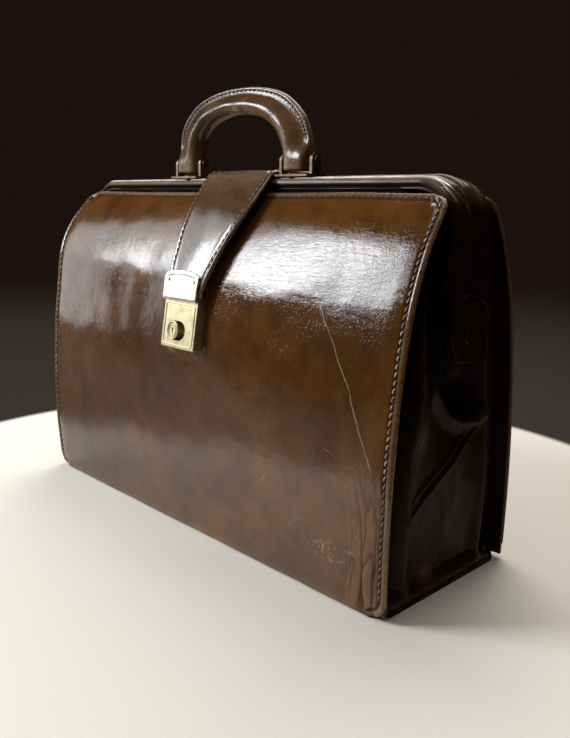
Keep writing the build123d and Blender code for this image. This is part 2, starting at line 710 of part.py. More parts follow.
plane, depth = lock_slab(LOCK_PLATE_BACK, LOCK_PLATE_FRONT)
with BuildPart() as lock_back_plate:
    with BuildSketch(plane):
        with Locations((0, (LOCK_BOTTOM + LOCK_PLATE_TOP) / 2)):
            RectangleRounded(2 * LOCK_HALF_WIDTH, LOCK_PLATE_TOP - LOCK_BOTTOM, LOCK_PLATE_CORNER)
        with lock_locations(LOCK_RIVET_X, LOCK_RIVET_V):
            Circle(LOCK_RIVET_RADIUS, mode=Mode.SUBTRACT)
    extrude(amount=depth)
finish(lock_back_plate, "lock_back_plate")

plane, depth = lock_slab(LOCK_PLATE_FRONT, LOCK_FRONT)
case_centre = (LOCK_BOTTOM + LOCK_CASE_TOP) / 2
case_height = LOCK_CASE_TOP - LOCK_BOTTOM
slot_centre = BOSS_X + SLIDE_TRAVEL / 2
with BuildPart() as lock_case:
    with BuildSketch(plane):
        with Locations((0, case_centre)):
            RectangleRounded(2 * LOCK_HALF_WIDTH, case_height, LOCK_CASE_CORNER)
    extrude(amount=depth)
    front_face = lock_case.faces().sort_by(Axis(lock_plane.origin, lock_plane.z_dir))[-1]
    fillet(front_face.edges(), radius=LOCK_CASE_FILLET)
    with BuildSketch(plane):
        with Locations((0, case_centre)):
            Rectangle(2 * (LOCK_HALF_WIDTH - LOCK_WALL), case_height - 2 * LOCK_WALL)
    extrude(amount=depth - LOCK_WALL, mode=Mode.SUBTRACT)
    with BuildSketch(plane):
        with Locations((slot_centre, BOSS_V)):
            SlotCenterToCenter(SLIDE_TRAVEL, 2 * (BOSS_RADIUS + SLOT_CLEARANCE))
        with Locations((0, NOTCH_BOTTOM)):
            Rectangle(2 * NOTCH_HALF, 2 * case_height, align=(Align.CENTER, Align.MIN))
    extrude(amount=depth + 2, mode=Mode.SUBTRACT)
finish(lock_case, "lock_case")

with BuildPart() as lock_rivets:
    with BuildSketch(lock_plane.offset(RIVET_TAIL_TOP)):
        with lock_locations(LOCK_RIVET_X, LOCK_RIVET_V):
            Circle(LOCK_RIVET_RADIUS)
    extrude(amount=LOCK_PLATE_FRONT - RIVET_TAIL_TOP)
    with BuildSketch(lock_plane.offset(RIVET_TAIL)):
        with lock_locations(LOCK_RIVET_X, LOCK_RIVET_V):
            Circle(RIVET_TAIL_RADIUS)
    extrude(amount=RIVET_TAIL_TOP - RIVET_TAIL)
    with BuildSketch(lock_plane.offset(LOCK_PLATE_FRONT)):
        with lock_locations(LOCK_RIVET_X, LOCK_RIVET_V):
            Circle(LOCK_RIVET_HEAD)
    extrude(amount=LOCK_RIVET_HEAD_HEIGHT)
finish(lock_rivets, "lock_rivets")

plane, depth = lock_slab(SLIDE_BACK, SLIDE_FRONT)
with BuildPart() as lock_button:
    with BuildSketch(plane):
        with Locations((SLIDE_LEFT, BOSS_V)):
            Rectangle(SLIDE_LENGTH, 2 * (BOSS_RADIUS + SLIDE_SIDE), align=(Align.MIN, Align.CENTER))
    extrude(amount=depth)
    with BuildSketch(lock_plane.offset(SLIDE_FRONT)):
        with Locations((BOSS_X, BOSS_V)):
            Circle(BOSS_RADIUS)
    extrude(amount=BOSS_FRONT - SLIDE_FRONT)
    with BuildSketch(lock_plane.offset(BOSS_FRONT - BOSS_GROOVE_DEPTH)):
        with Locations((BOSS_X, BOSS_V)):
            Circle(BOSS_GROOVE[1])
            Circle(BOSS_GROOVE[0], mode=Mode.SUBTRACT)
    extrude(amount=2 * BOSS_GROOVE_DEPTH, mode=Mode.SUBTRACT)
    with BuildSketch(lock_plane.offset(SLIDE_FRONT)):
        with Locations((BOSS_X, BOSS_V)):
            Circle(KEY_RADIUS + KEY_CLEARANCE)
    extrude(amount=BOSS_FRONT, mode=Mode.SUBTRACT)
finish(lock_button, "lock_button")

slide_top = BOSS_V + BOSS_RADIUS + SLIDE_SIDE
with BuildPart() as latch_bolt:
    with BuildSketch(lock_plane.offset(SLIDE_BACK)):
        with Locations((BOLT_ARM_X[0], slide_top)):
            Rectangle(BOLT_ARM_X[1] - BOLT_ARM_X[0], BOLT_V[1] - slide_top, align=(Align.MIN, Align.MIN))
    extrude(amount=SLIDE_FRONT - SLIDE_BACK)
    with BuildSketch(lock_plane.offset(SLIDE_FRONT)):
        with Locations((BOLT_ARM_X[0], BOLT_V[0])):
            Rectangle(BOLT_ARM_X[1] - BOLT_ARM_X[0], BOLT_V[1] - BOLT_V[0], align=(Align.MIN, Align.MIN))
    extrude(amount=BOLT_HEIGHT)
    with BuildSketch(lock_plane.offset(SLIDE_FRONT + BOLT_TIP_LIFT)):
        with Locations((BOLT_TIP_X, BOLT_V[0])):
            Rectangle(BOLT_ARM_X[0] - BOLT_TIP_X, BOLT_V[1] - BOLT_V[0], align=(Align.MIN, Align.MIN))
    extrude(amount=BOLT_TIP_HEIGHT)
finish(latch_bolt, "latch_bolt")

with BuildPart() as key_cylinder:
    with BuildSketch(lock_plane.offset(SLIDE_FRONT + LOCK_PLATE_BACK)):
        with Locations((BOSS_X, BOSS_V)):
            Circle(KEY_RADIUS)
    extrude(amount=BOSS_FRONT - SLIDE_FRONT)
    with BuildSketch(lock_plane.offset(BOSS_FRONT - KEYHOLE_DEPTH)):
        with Locations((BOSS_X, BOSS_V + KEYHOLE_RISE)):
            Circle(KEYHOLE_RADIUS)
        with Locations((BOSS_X, BOSS_V - KEYHOLE_SLOT_DROP)):
            Rectangle(*KEYHOLE_SLOT)
    extrude(amount=KEYHOLE_DEPTH + 1, mode=Mode.SUBTRACT)
finish(key_cylinder, "key_cylinder")

spring_x = LOCK_HALF_WIDTH - LOCK_WALL - SPRING_GAP
spring_tip = spring_x - SPRING_REACH
spring_bow = spring_tip + SPRING_LEAF
spring_ends = (BOSS_V - SPRING_HALF, BOSS_V + SPRING_HALF)
spring_inner = (BOSS_V - SPRING_INNER_HALF, BOSS_V + SPRING_INNER_HALF)
with BuildPart() as lock_spring:
    with BuildSketch(lock_plane.offset(SLIDE_BACK)):
        with BuildLine():
            ThreePointArc((spring_x, spring_ends[0]), (spring_tip, BOSS_V), (spring_x, spring_ends[1]))
            Line((spring_x, spring_ends[1]), (spring_x, spring_inner[1]))
            ThreePointArc((spring_x, spring_inner[1]), (spring_bow, BOSS_V), (spring_x, spring_inner[0]))
            Line((spring_x, spring_inner[0]), (spring_x, spring_ends[0]))
        make_face()
    extrude(amount=SPRING_WIDTH)
finish(lock_spring, "lock_spring")


# ---------------------------------------------------------------- strap and hasp
crest_centre = (
    -shoulder_point(RIM_ANGLE, -STRAP_CREST_DROP)[0] - STRAP_SLOPE * sin(radians(RIM_ANGLE)),
    shoulder_point(RIM_ANGLE, -STRAP_CREST_DROP)[1] + STRAP_SLOPE * cos(radians(RIM_ANGLE)),
)
strap_top = crest_centre[1] + STRAP_CREST_DROP + STRAP_OVER


def crest_point(angle, offset):
    """A point of the arc that takes the strap over the front jaw."""
    radius = STRAP_CREST_DROP + offset
    return (
        -crest_centre[0] - radius * cos(radians(angle)),
        crest_centre[1] + radius * sin(radians(angle)),
    )


def crest_arc(start, end, offset):
    """The crest's arc between two slopes of its normal."""
    middle = (start + end) / 2
    return ThreePointArc(crest_point(start, offset), crest_point(middle, offset), crest_point(end, offset))


def strap_edge(side, share):
    """A point of the strap's edge, seen from the front, from the hasp (0) to the crest (1)."""
    height = STRAP_FOOT_Z + share * (STRAP_SHOULDER_Z - STRAP_FOOT_Z)
    flare = share ** STRAP_FLARE
    half = STRAP_FOOT_HALF + flare * (STRAP_TOP_HALF - STRAP_FOOT_HALF)
    return (side * half + flare * STRAP_TOP_CENTRE, height)


def strap_sheet(under, over):
    """A layer of the strap between two offsets, from the hasp over the crest to the back jaw."""
    over_end = (STRAP_BACK, crest_point(90, over)[1])
    under_end = (STRAP_BACK, crest_point(90, under)[1])
    foot_left = (-STRAP_FOOT_HALF, STRAP_FOOT_Z)
    foot_right = (STRAP_FOOT_HALF, STRAP_FOOT_Z)
    above = 2 * STRAP_SHOULDER_Z
    with BuildPart() as layer:
        with BuildSketch(Plane.YZ):
            with BuildLine():
                shoulder_arc(JOIN_ANGLE, RIM_ANGLE, over)
                Line(shoulder_point(RIM_ANGLE, over), crest_point(RIM_ANGLE, over))
                crest_arc(RIM_ANGLE, 90, over)
                Polyline(crest_point(90, over), over_end, under_end, crest_point(90, under))
                crest_arc(90, RIM_ANGLE, under)
                Line(crest_point(RIM_ANGLE, under), shoulder_point(RIM_ANGLE, under))
                shoulder_arc(RIM_ANGLE, JOIN_ANGLE, under)
                Line(shoulder_point(JOIN_ANGLE, under), shoulder_point(JOIN_ANGLE, over))
            make_face()
        extrude(amount=BAG_LENGTH / 4, both=True)
        with BuildSketch(Plane.XZ):
            with BuildLine():
                Line(foot_left, foot_right)
                ThreePointArc(foot_right, strap_edge(1, STRAP_EDGE_MIDDLE), strap_edge(1, 1))
                Polyline(
                    strap_edge(1, 1),
                    (strap_edge(1, 1)[0], above),
                    (strap_edge(-1, 1)[0], above),
                    strap_edge(-1, 1),
                )
                ThreePointArc(strap_edge(-1, 1), strap_edge(-1, STRAP_EDGE_MIDDLE), foot_left)
            make_face()
        extrude(amount=BAG_LENGTH, both=True, mode=Mode.INTERSECT)
    return layer.part


def hasp_rivet_bores(piece):
    """Holes for the hasp's rivets through a layer of the strap."""
    with BuildPart() as drilled:
        add(piece)
        with BuildSketch(lock_plane.offset(HASP_FRONT)):
            with lock_locations(HASP_RIVET_X, (HASP_RIVET_V,)):
                Circle(HASP_RIVET_RADIUS)
        extrude(amount=-10, mode=Mode.SUBTRACT)
    return drilled.part


with BuildPart() as strap:
    add(hasp_rivet_bores(strap_rivet_bores(strap_sheet(STRAP_UNDER, STRAP_OVER), RIVET_RADIUS)))
finish(strap, "strap")

with BuildPart() as strap_lining:
    under_layer = strap_sheet(STRAP_LINING_UNDER, STRAP_UNDER - LINING_GAP)
    add(hasp_rivet_bores(strap_rivet_bores(under_layer, RIVET_RADIUS)))
finish(strap_lining, "strap_lining")

with BuildPart() as strap_rivets:
    with BuildSketch(Plane.XY.offset(FRAME_TOP - JAW_THICKNESS)):
        with Locations(*strap_rivet_places):
            Circle(RIVET_RADIUS)
    extrude(amount=strap_top - FRAME_TOP + JAW_THICKNESS)
    with BuildSketch(Plane.XY.offset(strap_top)):
        with Locations(*strap_rivet_places):
            Circle(STRAP_RIVET_HEAD[0])
    extrude(amount=STRAP_RIVET_HEAD[1], taper=STRAP_RIVET_TAPER)
finish(strap_rivets, "strap_rivets")

plane, depth = lock_slab(HASP_BACK, HASP_FRONT)
with BuildPart() as hasp_plate:
    with BuildSketch(plane):
        with BuildLine():
            Polyline((-HASP_HALF, HASP_SIDE_TOP), (-HASP_HALF, HASP_BOTTOM),
                     (HASP_HALF, HASP_BOTTOM), (HASP_HALF, HASP_SIDE_TOP))
            ThreePointArc((HASP_HALF, HASP_SIDE_TOP), (0, HASP_TOP), (-HASP_HALF, HASP_SIDE_TOP))
        make_face()
        with lock_locations(HASP_RIVET_X, (HASP_RIVET_V,)):
            Circle(HASP_RIVET_RADIUS, mode=Mode.SUBTRACT)
    extrude(amount=depth)
    through = hasp_plate.edges().filter_by(Axis((0, 0, 0), lock_plane.z_dir))
    fillet(through.filter_by(GeomType.LINE), radius=HASP_CORNER)
finish(hasp_plate, "hasp_plate")

with BuildPart() as hasp_staple:
    with BuildSketch(lock_plane.offset(STAPLE_BACK)):
        with Locations((0, STAPLE_V[0])):
            Rectangle(2 * STAPLE_HALF, STAPLE_V[1] - STAPLE_V[0], align=(Align.CENTER, Align.MIN))
    extrude(amount=HASP_BACK - STAPLE_BACK)
    with BuildSketch(lock_plane.offset(STAPLE_EYE[0])):
        with Locations((0, BOLT_V[0] - STAPLE_EYE_GAP)):
            eye_height = BOLT_V[1] - BOLT_V[0] + 2 * STAPLE_EYE_GAP
            Rectangle(4 * STAPLE_HALF, eye_height, align=(Align.CENTER, Align.MIN))
    extrude(amount=STAPLE_EYE[1], mode=Mode.SUBTRACT)
finish(hasp_staple, "hasp_staple")

with BuildPart() as hasp_rivets:
    with BuildSketch(lock_plane.offset(HASP_RIVET_BACK)):
        with lock_locations(HASP_RIVET_X, (HASP_RIVET_V,)):
            Circle(HASP_RIVET_RADIUS)
    extrude(amount=HASP_FRONT - HASP_RIVET_BACK)
    with BuildSketch(lock_plane.offset(HASP_FRONT)):
        with lock_locations(HASP_RIVET_X, (HASP_RIVET_V,)):
            Circle(HASP_RIVET_HEAD[0])
    extrude(amount=HASP_RIVET_HEAD[1])
finish(hasp_rivets, "hasp_rivets")
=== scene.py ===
"""Looks of the doctor bag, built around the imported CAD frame. Lengths in this script are millimetres;
mesh builders turn them into metres. The front faces -Y and +X is to the right seen from the front."""
from functools import reduce
from math import asin, cos, degrees, dist, exp, hypot, pi, radians, sin, sqrt

import bpy
import numpy as np
from mathutils import Matrix, Vector, noise


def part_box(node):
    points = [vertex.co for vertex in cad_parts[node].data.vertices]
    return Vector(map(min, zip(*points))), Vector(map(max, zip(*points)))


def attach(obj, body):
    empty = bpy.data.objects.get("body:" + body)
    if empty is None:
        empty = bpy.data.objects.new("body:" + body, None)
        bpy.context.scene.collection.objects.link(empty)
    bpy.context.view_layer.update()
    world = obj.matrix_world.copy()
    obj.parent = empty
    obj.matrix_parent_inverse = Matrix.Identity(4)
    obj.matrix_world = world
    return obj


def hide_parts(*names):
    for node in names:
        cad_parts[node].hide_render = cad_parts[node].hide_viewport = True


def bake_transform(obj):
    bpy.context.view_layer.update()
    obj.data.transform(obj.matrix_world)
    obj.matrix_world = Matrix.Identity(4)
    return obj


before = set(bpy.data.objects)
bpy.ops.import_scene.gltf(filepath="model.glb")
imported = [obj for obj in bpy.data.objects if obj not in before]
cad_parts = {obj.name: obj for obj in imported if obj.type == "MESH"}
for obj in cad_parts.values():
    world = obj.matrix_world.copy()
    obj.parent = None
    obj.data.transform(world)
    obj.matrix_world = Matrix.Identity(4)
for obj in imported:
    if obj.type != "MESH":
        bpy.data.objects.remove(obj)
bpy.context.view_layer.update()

MM = 0.001


def on_arc(centre, radius, angle):
    """A (depth, height) place on an arc."""
    return centre[0] + radius * cos(angle), centre[1] + radius * sin(angle)


def node_span(node, axis):
    """Lowest and highest value of a CAD node along one axis, in millimetres."""
    low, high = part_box(node)
    return low[axis] / MM, high[axis] / MM


# ---------------------------------------------------------------- sizes shared with the frame
HALF_LENGTH = node_span("front_panel", 0)[1]
LEATHER = 3.2
BELLY_DEPTH, BELLY_HEIGHT, BELLY_RADIUS = 72.6, 60.0, 816.0
SHOULDER_RADIUS = 129.8
JOIN_ANGLE, RIM_ANGLE = radians(9.02), radians(44.1)
FOOT_ANGLE = -asin((BELLY_HEIGHT - 0.5) / BELLY_RADIUS)
WALL_TOP_ANGLE = RIM_ANGLE + radians(3.1)     # the leather's rim reaches up to the jaw
FOOT_CORNER, RIM_CORNER = 14.0, 13.0
FRAME_TOP = node_span("front_jaw_cover", 2)[1]
FRAME_HALF = node_span("front_jaw_cover", 0)[1]
FRAME_CORNER = 32.0
PIVOT_Z = 175.0
TONGUE_RADIUS = 19.0
JAW_THICKNESS = 9.0

belly_centre = (BELLY_DEPTH - BELLY_RADIUS, BELLY_HEIGHT)
join_point = on_arc(belly_centre, BELLY_RADIUS, JOIN_ANGLE)
shoulder_centre = on_arc(join_point, -SHOULDER_RADIUS, JOIN_ANGLE)
BELLY_LENGTH = BELLY_RADIUS * (JOIN_ANGLE - FOOT_ANGLE)
SHOULDER_LENGTH = SHOULDER_RADIUS * (WALL_TOP_ANGLE - JOIN_ANGLE)
WALL_LENGTH = BELLY_LENGTH + SHOULDER_LENGTH


def smooth(low, high, value):
    """0 below low, 1 above high, eased between them."""
    t = min(max((value - low) / (high - low), 0.0), 1.0)
    return t * t * (3 - 2 * t)


def bump(value, centre, width):
    """A bell of height 1."""
    return exp(-((value - centre) / width) ** 2)


def ripple(x, y, z):
    """Smooth noise between -1 and 1."""
    return noise.noise(Vector((x, y, z)))


def round_drop(distance, radius):
    """How far a rounded edge lies back at a distance from it."""
    return radius - chord(radius, radius - distance) if distance < radius else 0.0


def chord(radius, offset):
    """Half the width of a circle at an offset from its centre."""
    return sqrt(max(radius ** 2 - offset ** 2, 0))


def wall_at(length, offset=0.0):
    """Half depth and height of the wall's profile at a length along it from the foot."""
    if length <= BELLY_LENGTH:
        return on_arc(belly_centre, BELLY_RADIUS + offset, FOOT_ANGLE + length / BELLY_RADIUS)
    angle = JOIN_ANGLE + (length - BELLY_LENGTH) / SHOULDER_RADIUS
    return on_arc(shoulder_centre, SHOULDER_RADIUS + offset, angle)


# ---------------------------------------------------------------- mesh helpers
def new_object(name, vertices, faces, material):
    """A smooth mesh object from points in millimetres."""
    mesh = bpy.data.meshes.new(name)
    mesh.from_pydata([tuple(c * MM for c in v) for v in vertices], [], faces)
    mesh.validate()
    mesh.update()
    mesh.materials.append(material)
    mesh.polygons.foreach_set("use_smooth", [True] * len(mesh.polygons))
    obj = bpy.data.objects.new(name, mesh)
    bpy.context.scene.collection.objects.link(obj)
    return obj


def fit(piece, slot, body, *nodes):
    """Makes a piece ride on a body and stand for CAD nodes."""
    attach(piece, body)
    if nodes:
        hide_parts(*nodes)


def set_attribute(obj, name, values):
    """A number per vertex that materials read by name."""
    layer = obj.data.attributes.new(name, "FLOAT", "POINT")
    layer.data.foreach_set("value", [float(v) for v in values])


def ring_faces(rows, columns, close_rows=False, close_columns=False, start=0, flip=False):
    """Quads over a grid of points stored row by row."""
    faces = []
    for r in range(rows if close_rows else rows - 1):
        here, ahead = start + r * columns, start + (r + 1) % rows * columns
        for c in range(columns if close_columns else columns - 1):
            d = (c + 1) % columns
            face = (here + c, ahead + c, ahead + d, here + d)
            faces.append(face if flip else (face[0], face[3], face[2], face[1]))
    return faces


def bar_faces(rows, sides, start=0, flip=False):
    """Quads around a bar, whose rings of points are stored one after another, and its two end caps."""
    first = range(start, start + sides)
    last = [i + (rows - 1) * sides for i in first]
    faces = ring_faces(rows, sides, close_columns=True, start=start, flip=flip)
    return faces + [tuple(first if flip else reversed(first)), tuple(reversed(last) if flip else last)]


def sheet_object(name, rows, columns, point, layers, material, attributes=None, mirror_y=False, flip=False):
    """A closed thick sheet. point gives the place of (row, column, layer), the outer layer first."""
    grid = [(r, c) for r in range(rows) for c in range(columns)]
    vertices = [point(r, c, layer) for layer in layers for r, c in grid]
    count = rows * columns
    faces = ring_faces(rows, columns) + ring_faces(rows, columns, start=count, flip=True)
    border = [*range(columns), *(r * columns + columns - 1 for r in range(1, rows)),
              *((rows - 1) * columns + c for c in range(columns - 2, -1, -1)),
              *(r * columns for r in range(rows - 2, 0, -1))]
    faces += [(a, a + count, b + count, b) for a, b in zip(border, border[1:] + border[:1])]
    if mirror_y:
        vertices = [(x, -y, z) for x, y, z in vertices]
        faces = [tuple(reversed(f)) for f in faces]
    obj = new_object(name, vertices, faces, material)
    for key, function in (attributes or {}).items():
        set_attribute(obj, key, [function(r, c) for r, c in grid] * 2)
    if flip:
        obj.data.flip_normals()
    return obj


def tube_along(points, radii, sides=6):
    """Vertices of a tube through points, with a radius at each."""
    vertices = []
    for k, point in enumerate(points):
        ahead = (points[min(k + 1, len(points) - 1)] - points[max(k - 1, 0)]).normalized()
        side = ahead.cross(Vector((0, 0, 1)))
        if side.length < 0.05:
            side = ahead.cross(Vector((0, 1, 0)))
        side.normalize()
        up = side.cross(ahead)
        for s in range(sides):
            a = 2 * pi * s / sides
            vertices.append(tuple(point + radii[k] * (cos(a) * side + sin(a) * up)))
    return vertices


def stitch_object(name, stitches, material, thickness=0.5, sink=0.15):
    """Real thread: each stitch is a small arched tube between two points, lifted along a normal."""
    vertices, faces = [], []
    shares, radii = (0.0, 0.12, 0.35, 0.65, 0.88, 1.0), [thickness * r for r in (0.45, 0.85, 1.0, 1.0, 0.85, 0.45)]
    for start, end, normal in stitches:
        points = []
        for share in shares:
            lift = thickness * (sin(pi * share) ** 0.6 if 0 < share < 1 else 0) - sink
            points.append(Vector(start).lerp(Vector(end), share) + Vector(normal) * lift)
        tube = tube_along(points, radii)
        faces += bar_faces(len(points), len(tube) // len(points), start=len(vertices), flip=True)
        vertices += tube
    return new_object(name, vertices, faces, material)


# ---------------------------------------------------------------- material helpers
class Nodes:
    """A short way to write a material's node tree."""

    def __init__(self, name):
        self.material = bpy.data.materials.new(name)
        self.material.use_nodes = True
        self.tree = self.material.node_tree
        self.shader = self.tree.nodes["Principled BSDF"]
        self.place = self.add("TexCoord").outputs["Object"]

    def put(self, socket, value):
        if isinstance(value, bpy.types.NodeSocket):
            self.tree.links.new(value, socket)
        else:
            socket.default_value = value

    def add(self, kind, settings=(), values=(), **named):
        """A node, its settings, and the values or links of its sockets in order or by name."""
        node = self.tree.nodes.new("ShaderNode" + kind)
        for key, value in dict(settings).items():
            setattr(node, key, value)
        for key, value in [*enumerate(values), *named.items()]:
            self.put(node.inputs[key], value)
        return node

    def noise(self, scale, detail=4.0, roughness=0.6, distortion=0.0, place=None):
        return self.add("TexNoise", Vector=place or self.place, Scale=scale, Detail=detail,
                        Roughness=roughness, Distortion=distortion).outputs["Fac"]

    def attribute(self, name):
        return self.add("Attribute", {"attribute_name": name}).outputs["Fac"]

    def axes(self):
        return self.add("SeparateXYZ", Vector=self.place).outputs

    def math(self, operation, a, b=0.0, clamp=False):
        return self.add("Math", {"operation": operation, "use_clamp": clamp}, (a, b)).outputs[0]

    def minus(self, a, b):
        return self.math("SUBTRACT", a, b)

    def plus(self, *terms):
        return reduce(lambda a, b: self.math("ADD", a, b), terms)

    def times(self, *factors, clamp=False):
        return reduce(lambda a, b: self.math("MULTIPLY", a, b, clamp), factors)

    def remap(self, value, low, high, to_low=0.0, to_high=1.0):
        """Eases a value between low and high into to_low to to_high."""
        return self.add("MapRange", {"interpolation_type": "SMOOTHSTEP"},
                        (value, low, high, to_low, to_high)).outputs["Result"]

    def mix(self, share, a, b):
        """Colour a where the share is 0 and b where it is 1."""
        node = self.add("Mix", {"data_type": "RGBA"}, (share,))
        for socket, value in zip(node.inputs[6:8], (a, b)):
            self.put(socket, (*value, 1.0) if isinstance(value, tuple) else value)
        return node.outputs[2]

    def bump(self, height, strength, distance, normal=None):
        node = self.add("Bump", Height=height, Strength=strength, Distance=distance)
        if normal is not None:
            self.put(node.inputs["Normal"], normal)
        return node.outputs["Normal"]

    def set(self, **sockets):
        for key, value in sockets.items():
            if isinstance(value, tuple):
                value = (*value, 1.0)
            self.put(self.shader.inputs[key.replace("_", " ")], value)
        return self.material


def shade(colour, share):
    """A darker or lighter colour."""
    return tuple(c * share for c in colour)


def scratch_mask(n, start, end, width):
    """1 on a line between two (x, z) places on the front, in millimetres, broken up along its length."""
    x, _, z = n.axes()
    length = dist(start, end) * MM
    along = [(b - a) * MM / length for a, b in zip(start, end)]
    dx, dz = n.minus(x, start[0] * MM), n.minus(z, start[1] * MM)
    t = n.plus(n.times(dx, along[0]), n.times(dz, along[1]))
    across = n.minus(n.times(dx, along[1]), n.times(dz, along[0]))
    wobble = n.times(n.minus(n.noise(60, 2), 0.5), 0.004)
    line = n.remap(n.math("ABSOLUTE", n.plus(across, wobble)), 0.0, width * MM, 1.0, 0.0)
    ends = n.times(n.remap(t, 0.0, 0.006), n.remap(t, length - 0.012, length, 1.0, 0.0))
    return n.times(line, ends, n.remap(n.noise(150, 4), 0.34, 0.5, 0.25, 1.0))


SCRATCHES = [((63, 187.5), (104, 202), 0.7), ((126, 201), (147, 169.5), 0.7), ((143, 175.5), (168, 137), 0.7),
             ((164, 143), (190, 93), 0.7), ((98, 73), (90, 61), 0.7), ((88, 75), (86, 68), 0.7),
             ((146, 103), (158, 99), 0.5), ((168, 40), (182, 38), 0.6), ((128, 46), (134, 41), 0.6)]
SCRATCHED = (0.46, 0.36, 0.26)


def leather(name, dark, light, roughness=(0.36, 0.5), coat=0.95, grain=760.0, grain_depth=0.00012,
            scratches=(), tan=(0.36, 0.22, 0.12), mottle=1.0, specular=0.01, coat_roughness=0.075):
    """Polished bridle leather: mottled dye, pores, fine cracks, worn places and painted shade by attribute."""
    n = Nodes(name)
    dirt = n.attribute("dirt")
    pores = n.add("TexVoronoi", {"feature": "F1"}, Vector=n.place, Scale=grain).outputs["Distance"]
    cloud = n.remap(n.noise(9.0, 5.0, 0.62, 0.6), 0.5 - 0.2 / mottle, 0.5 + 0.2 / mottle)
    base = n.mix(cloud, dark, light)
    base = n.mix(n.remap(n.noise(46.0, 5.0, 0.65), 0.42, 0.66, 0.0, 0.42), base, shade(dark, 0.55))
    base = n.mix(n.remap(pores, 0.0, 0.34, 0.35, 0.0), base, shade(dark, 0.4))
    marks = n.remap(n.noise(130.0, 6.0, 0.75, 1.4), 0.665, 0.72, 0.0, 0.35)
    base = n.mix(marks, base, tuple(min(c * 1.6 + 0.02, 1) for c in light))
    patchy = n.plus(0.45, n.remap(n.noise(330.0, 4.0, 0.7), 0.3, 0.72))
    wear = n.times(n.attribute("wear"), patchy, clamp=True)
    base = n.mix(wear, base, tan)
    if scratches:
        lines = reduce(lambda a, b: n.math("MAXIMUM", a, b), [scratch_mask(n, *scratch) for scratch in scratches])
        base = n.mix(n.times(lines, 0.62), base, SCRATCHED)
        specks = n.remap(n.noise(330.0, 7.0, 0.8, 0.8), 0.53, 0.6)
        base = n.mix(n.times(n.attribute("scuff"), specks), base, SCRATCHED)
    # Painted shade from the attribute: darker, rougher and less polished where it is set.
    base = n.mix(dirt, base, shade(dark, 0.18))
    rough = n.plus(n.remap(n.noise(24.0, 4.0), 0.35, 0.65, *roughness), n.times(wear, 0.22), n.times(dirt, 0.25))
    polish = n.times(n.minus(1.0, n.times(wear, 0.6)), n.times(n.minus(1.0, dirt), coat, clamp=True))
    grain_height = n.plus(n.times(n.remap(pores, 0.0, 0.45), 0.8), n.times(n.noise(2100.0, 2.0), 0.3),
                          n.times(n.noise(260.0, 3.0), 0.9))
    stretched = n.add("Mapping", Vector=n.place, Scale=(120.0, 120.0, 560.0)).outputs["Vector"]
    crackle = n.times(n.noise(1.0, 5.0, 0.7, 1.2, stretched), n.attribute("crease"))
    normal = n.bump(crackle, 0.5, 0.00038)
    normal = n.bump(n.minus(grain_height, n.times(wear, 0.5)), 0.5, grain_depth, normal)
    normal = n.bump(n.noise(38.0, 3.0, 0.5), 0.25, 0.0016, normal)
    return n.set(Base_Color=base, Roughness=rough, Normal=normal, Coat_Weight=polish, Coat_Normal=normal,
                 Coat_Roughness=coat_roughness, Coat_IOR=1.62, Specular_IOR_Level=specular)


def metal(name, light, dark, roughness, tarnish):
    """Worn plated brass or steel: tarnish in patches, fine brushing and small dents."""
    n = Nodes(name)
    base = n.mix(n.remap(n.noise(95.0, 5.0, 0.65), 0.42, 0.68, 0.0, tarnish), light, dark)
    base = n.mix(n.remap(n.noise(900.0, 3.0), 0.62, 0.7, 0.0, 0.5), base, shade(dark, 0.4))
    rough = n.remap(n.noise(160.0, 5.0), 0.35, 0.65, *roughness)
    normal = n.bump(n.noise(70.0, 3.0), 0.3, 0.0004, n.bump(n.noise(700.0, 4.0), 0.3, 0.00006))
    return n.set(Base_Color=base, Roughness=rough, Metallic=1.0, Normal=normal)


def woven(name, light, dark, threads=3000.0):
    """Plain woven cloth: crossing threads by waves, threads in radians a metre."""
    n = Nodes(name)
    x_wave, y_wave, z_wave = (n.math("SINE", n.times(axis, threads)) for axis in n.axes())
    weave = n.times(x_wave, n.plus(z_wave, y_wave))
    base = n.mix(n.remap(weave, -1.2, 1.2), light, dark)
    base = n.mix(n.remap(n.noise(30.0, 4.0), 0.45, 0.7, 0.0, 0.5), base, shade(dark, 0.6))
    return n.set(Base_Color=base, Roughness=0.85, Normal=n.bump(weave, 0.4, 0.0002), Sheen_Weight=0.2)


def fibre(name, light, dark, patches=(700.0, 0.35, 0.65), twist=(1500.0, 3.0), relief=(0.6, 0.0004), rough=0.9):
    """Twisted fibres with patches of a second colour."""
    n = Nodes(name)
    base = n.mix(n.remap(n.noise(patches[0]), *patches[1:]), light, dark)
    return n.set(Base_Color=base, Roughness=rough, Normal=n.bump(n.noise(*twist), *relief))


BODY_DARK, BODY_LIGHT = (0.07, 0.0255, 0.005), (0.146, 0.055, 0.0105)
body_leather = leather("body_leather", BODY_DARK, BODY_LIGHT, scratches=SCRATCHES)
back_leather = leather("back_leather", BODY_DARK, BODY_LIGHT)
gusset_leather = leather("gusset_leather", (0.008, 0.0042, 0.0028), (0.018, 0.009, 0.0055), (0.48, 0.66), 0.1,
                         620.0, 0.0002, tan=(0.14, 0.075, 0.035), specular=0.05, coat_roughness=0.25)
frame_leather = leather("frame_leather", (0.045, 0.022, 0.011), (0.11, 0.058, 0.029), (0.34, 0.5), 0.36, 900.0,
                        0.0001, tan=(0.3, 0.19, 0.11), coat_roughness=0.16)
strap_leather = leather("strap_leather", (0.056, 0.026, 0.012), (0.125, 0.064, 0.029), (0.34, 0.5), 0.98, 820.0,
                        0.0001, tan=(0.34, 0.22, 0.12), coat_roughness=0.12)
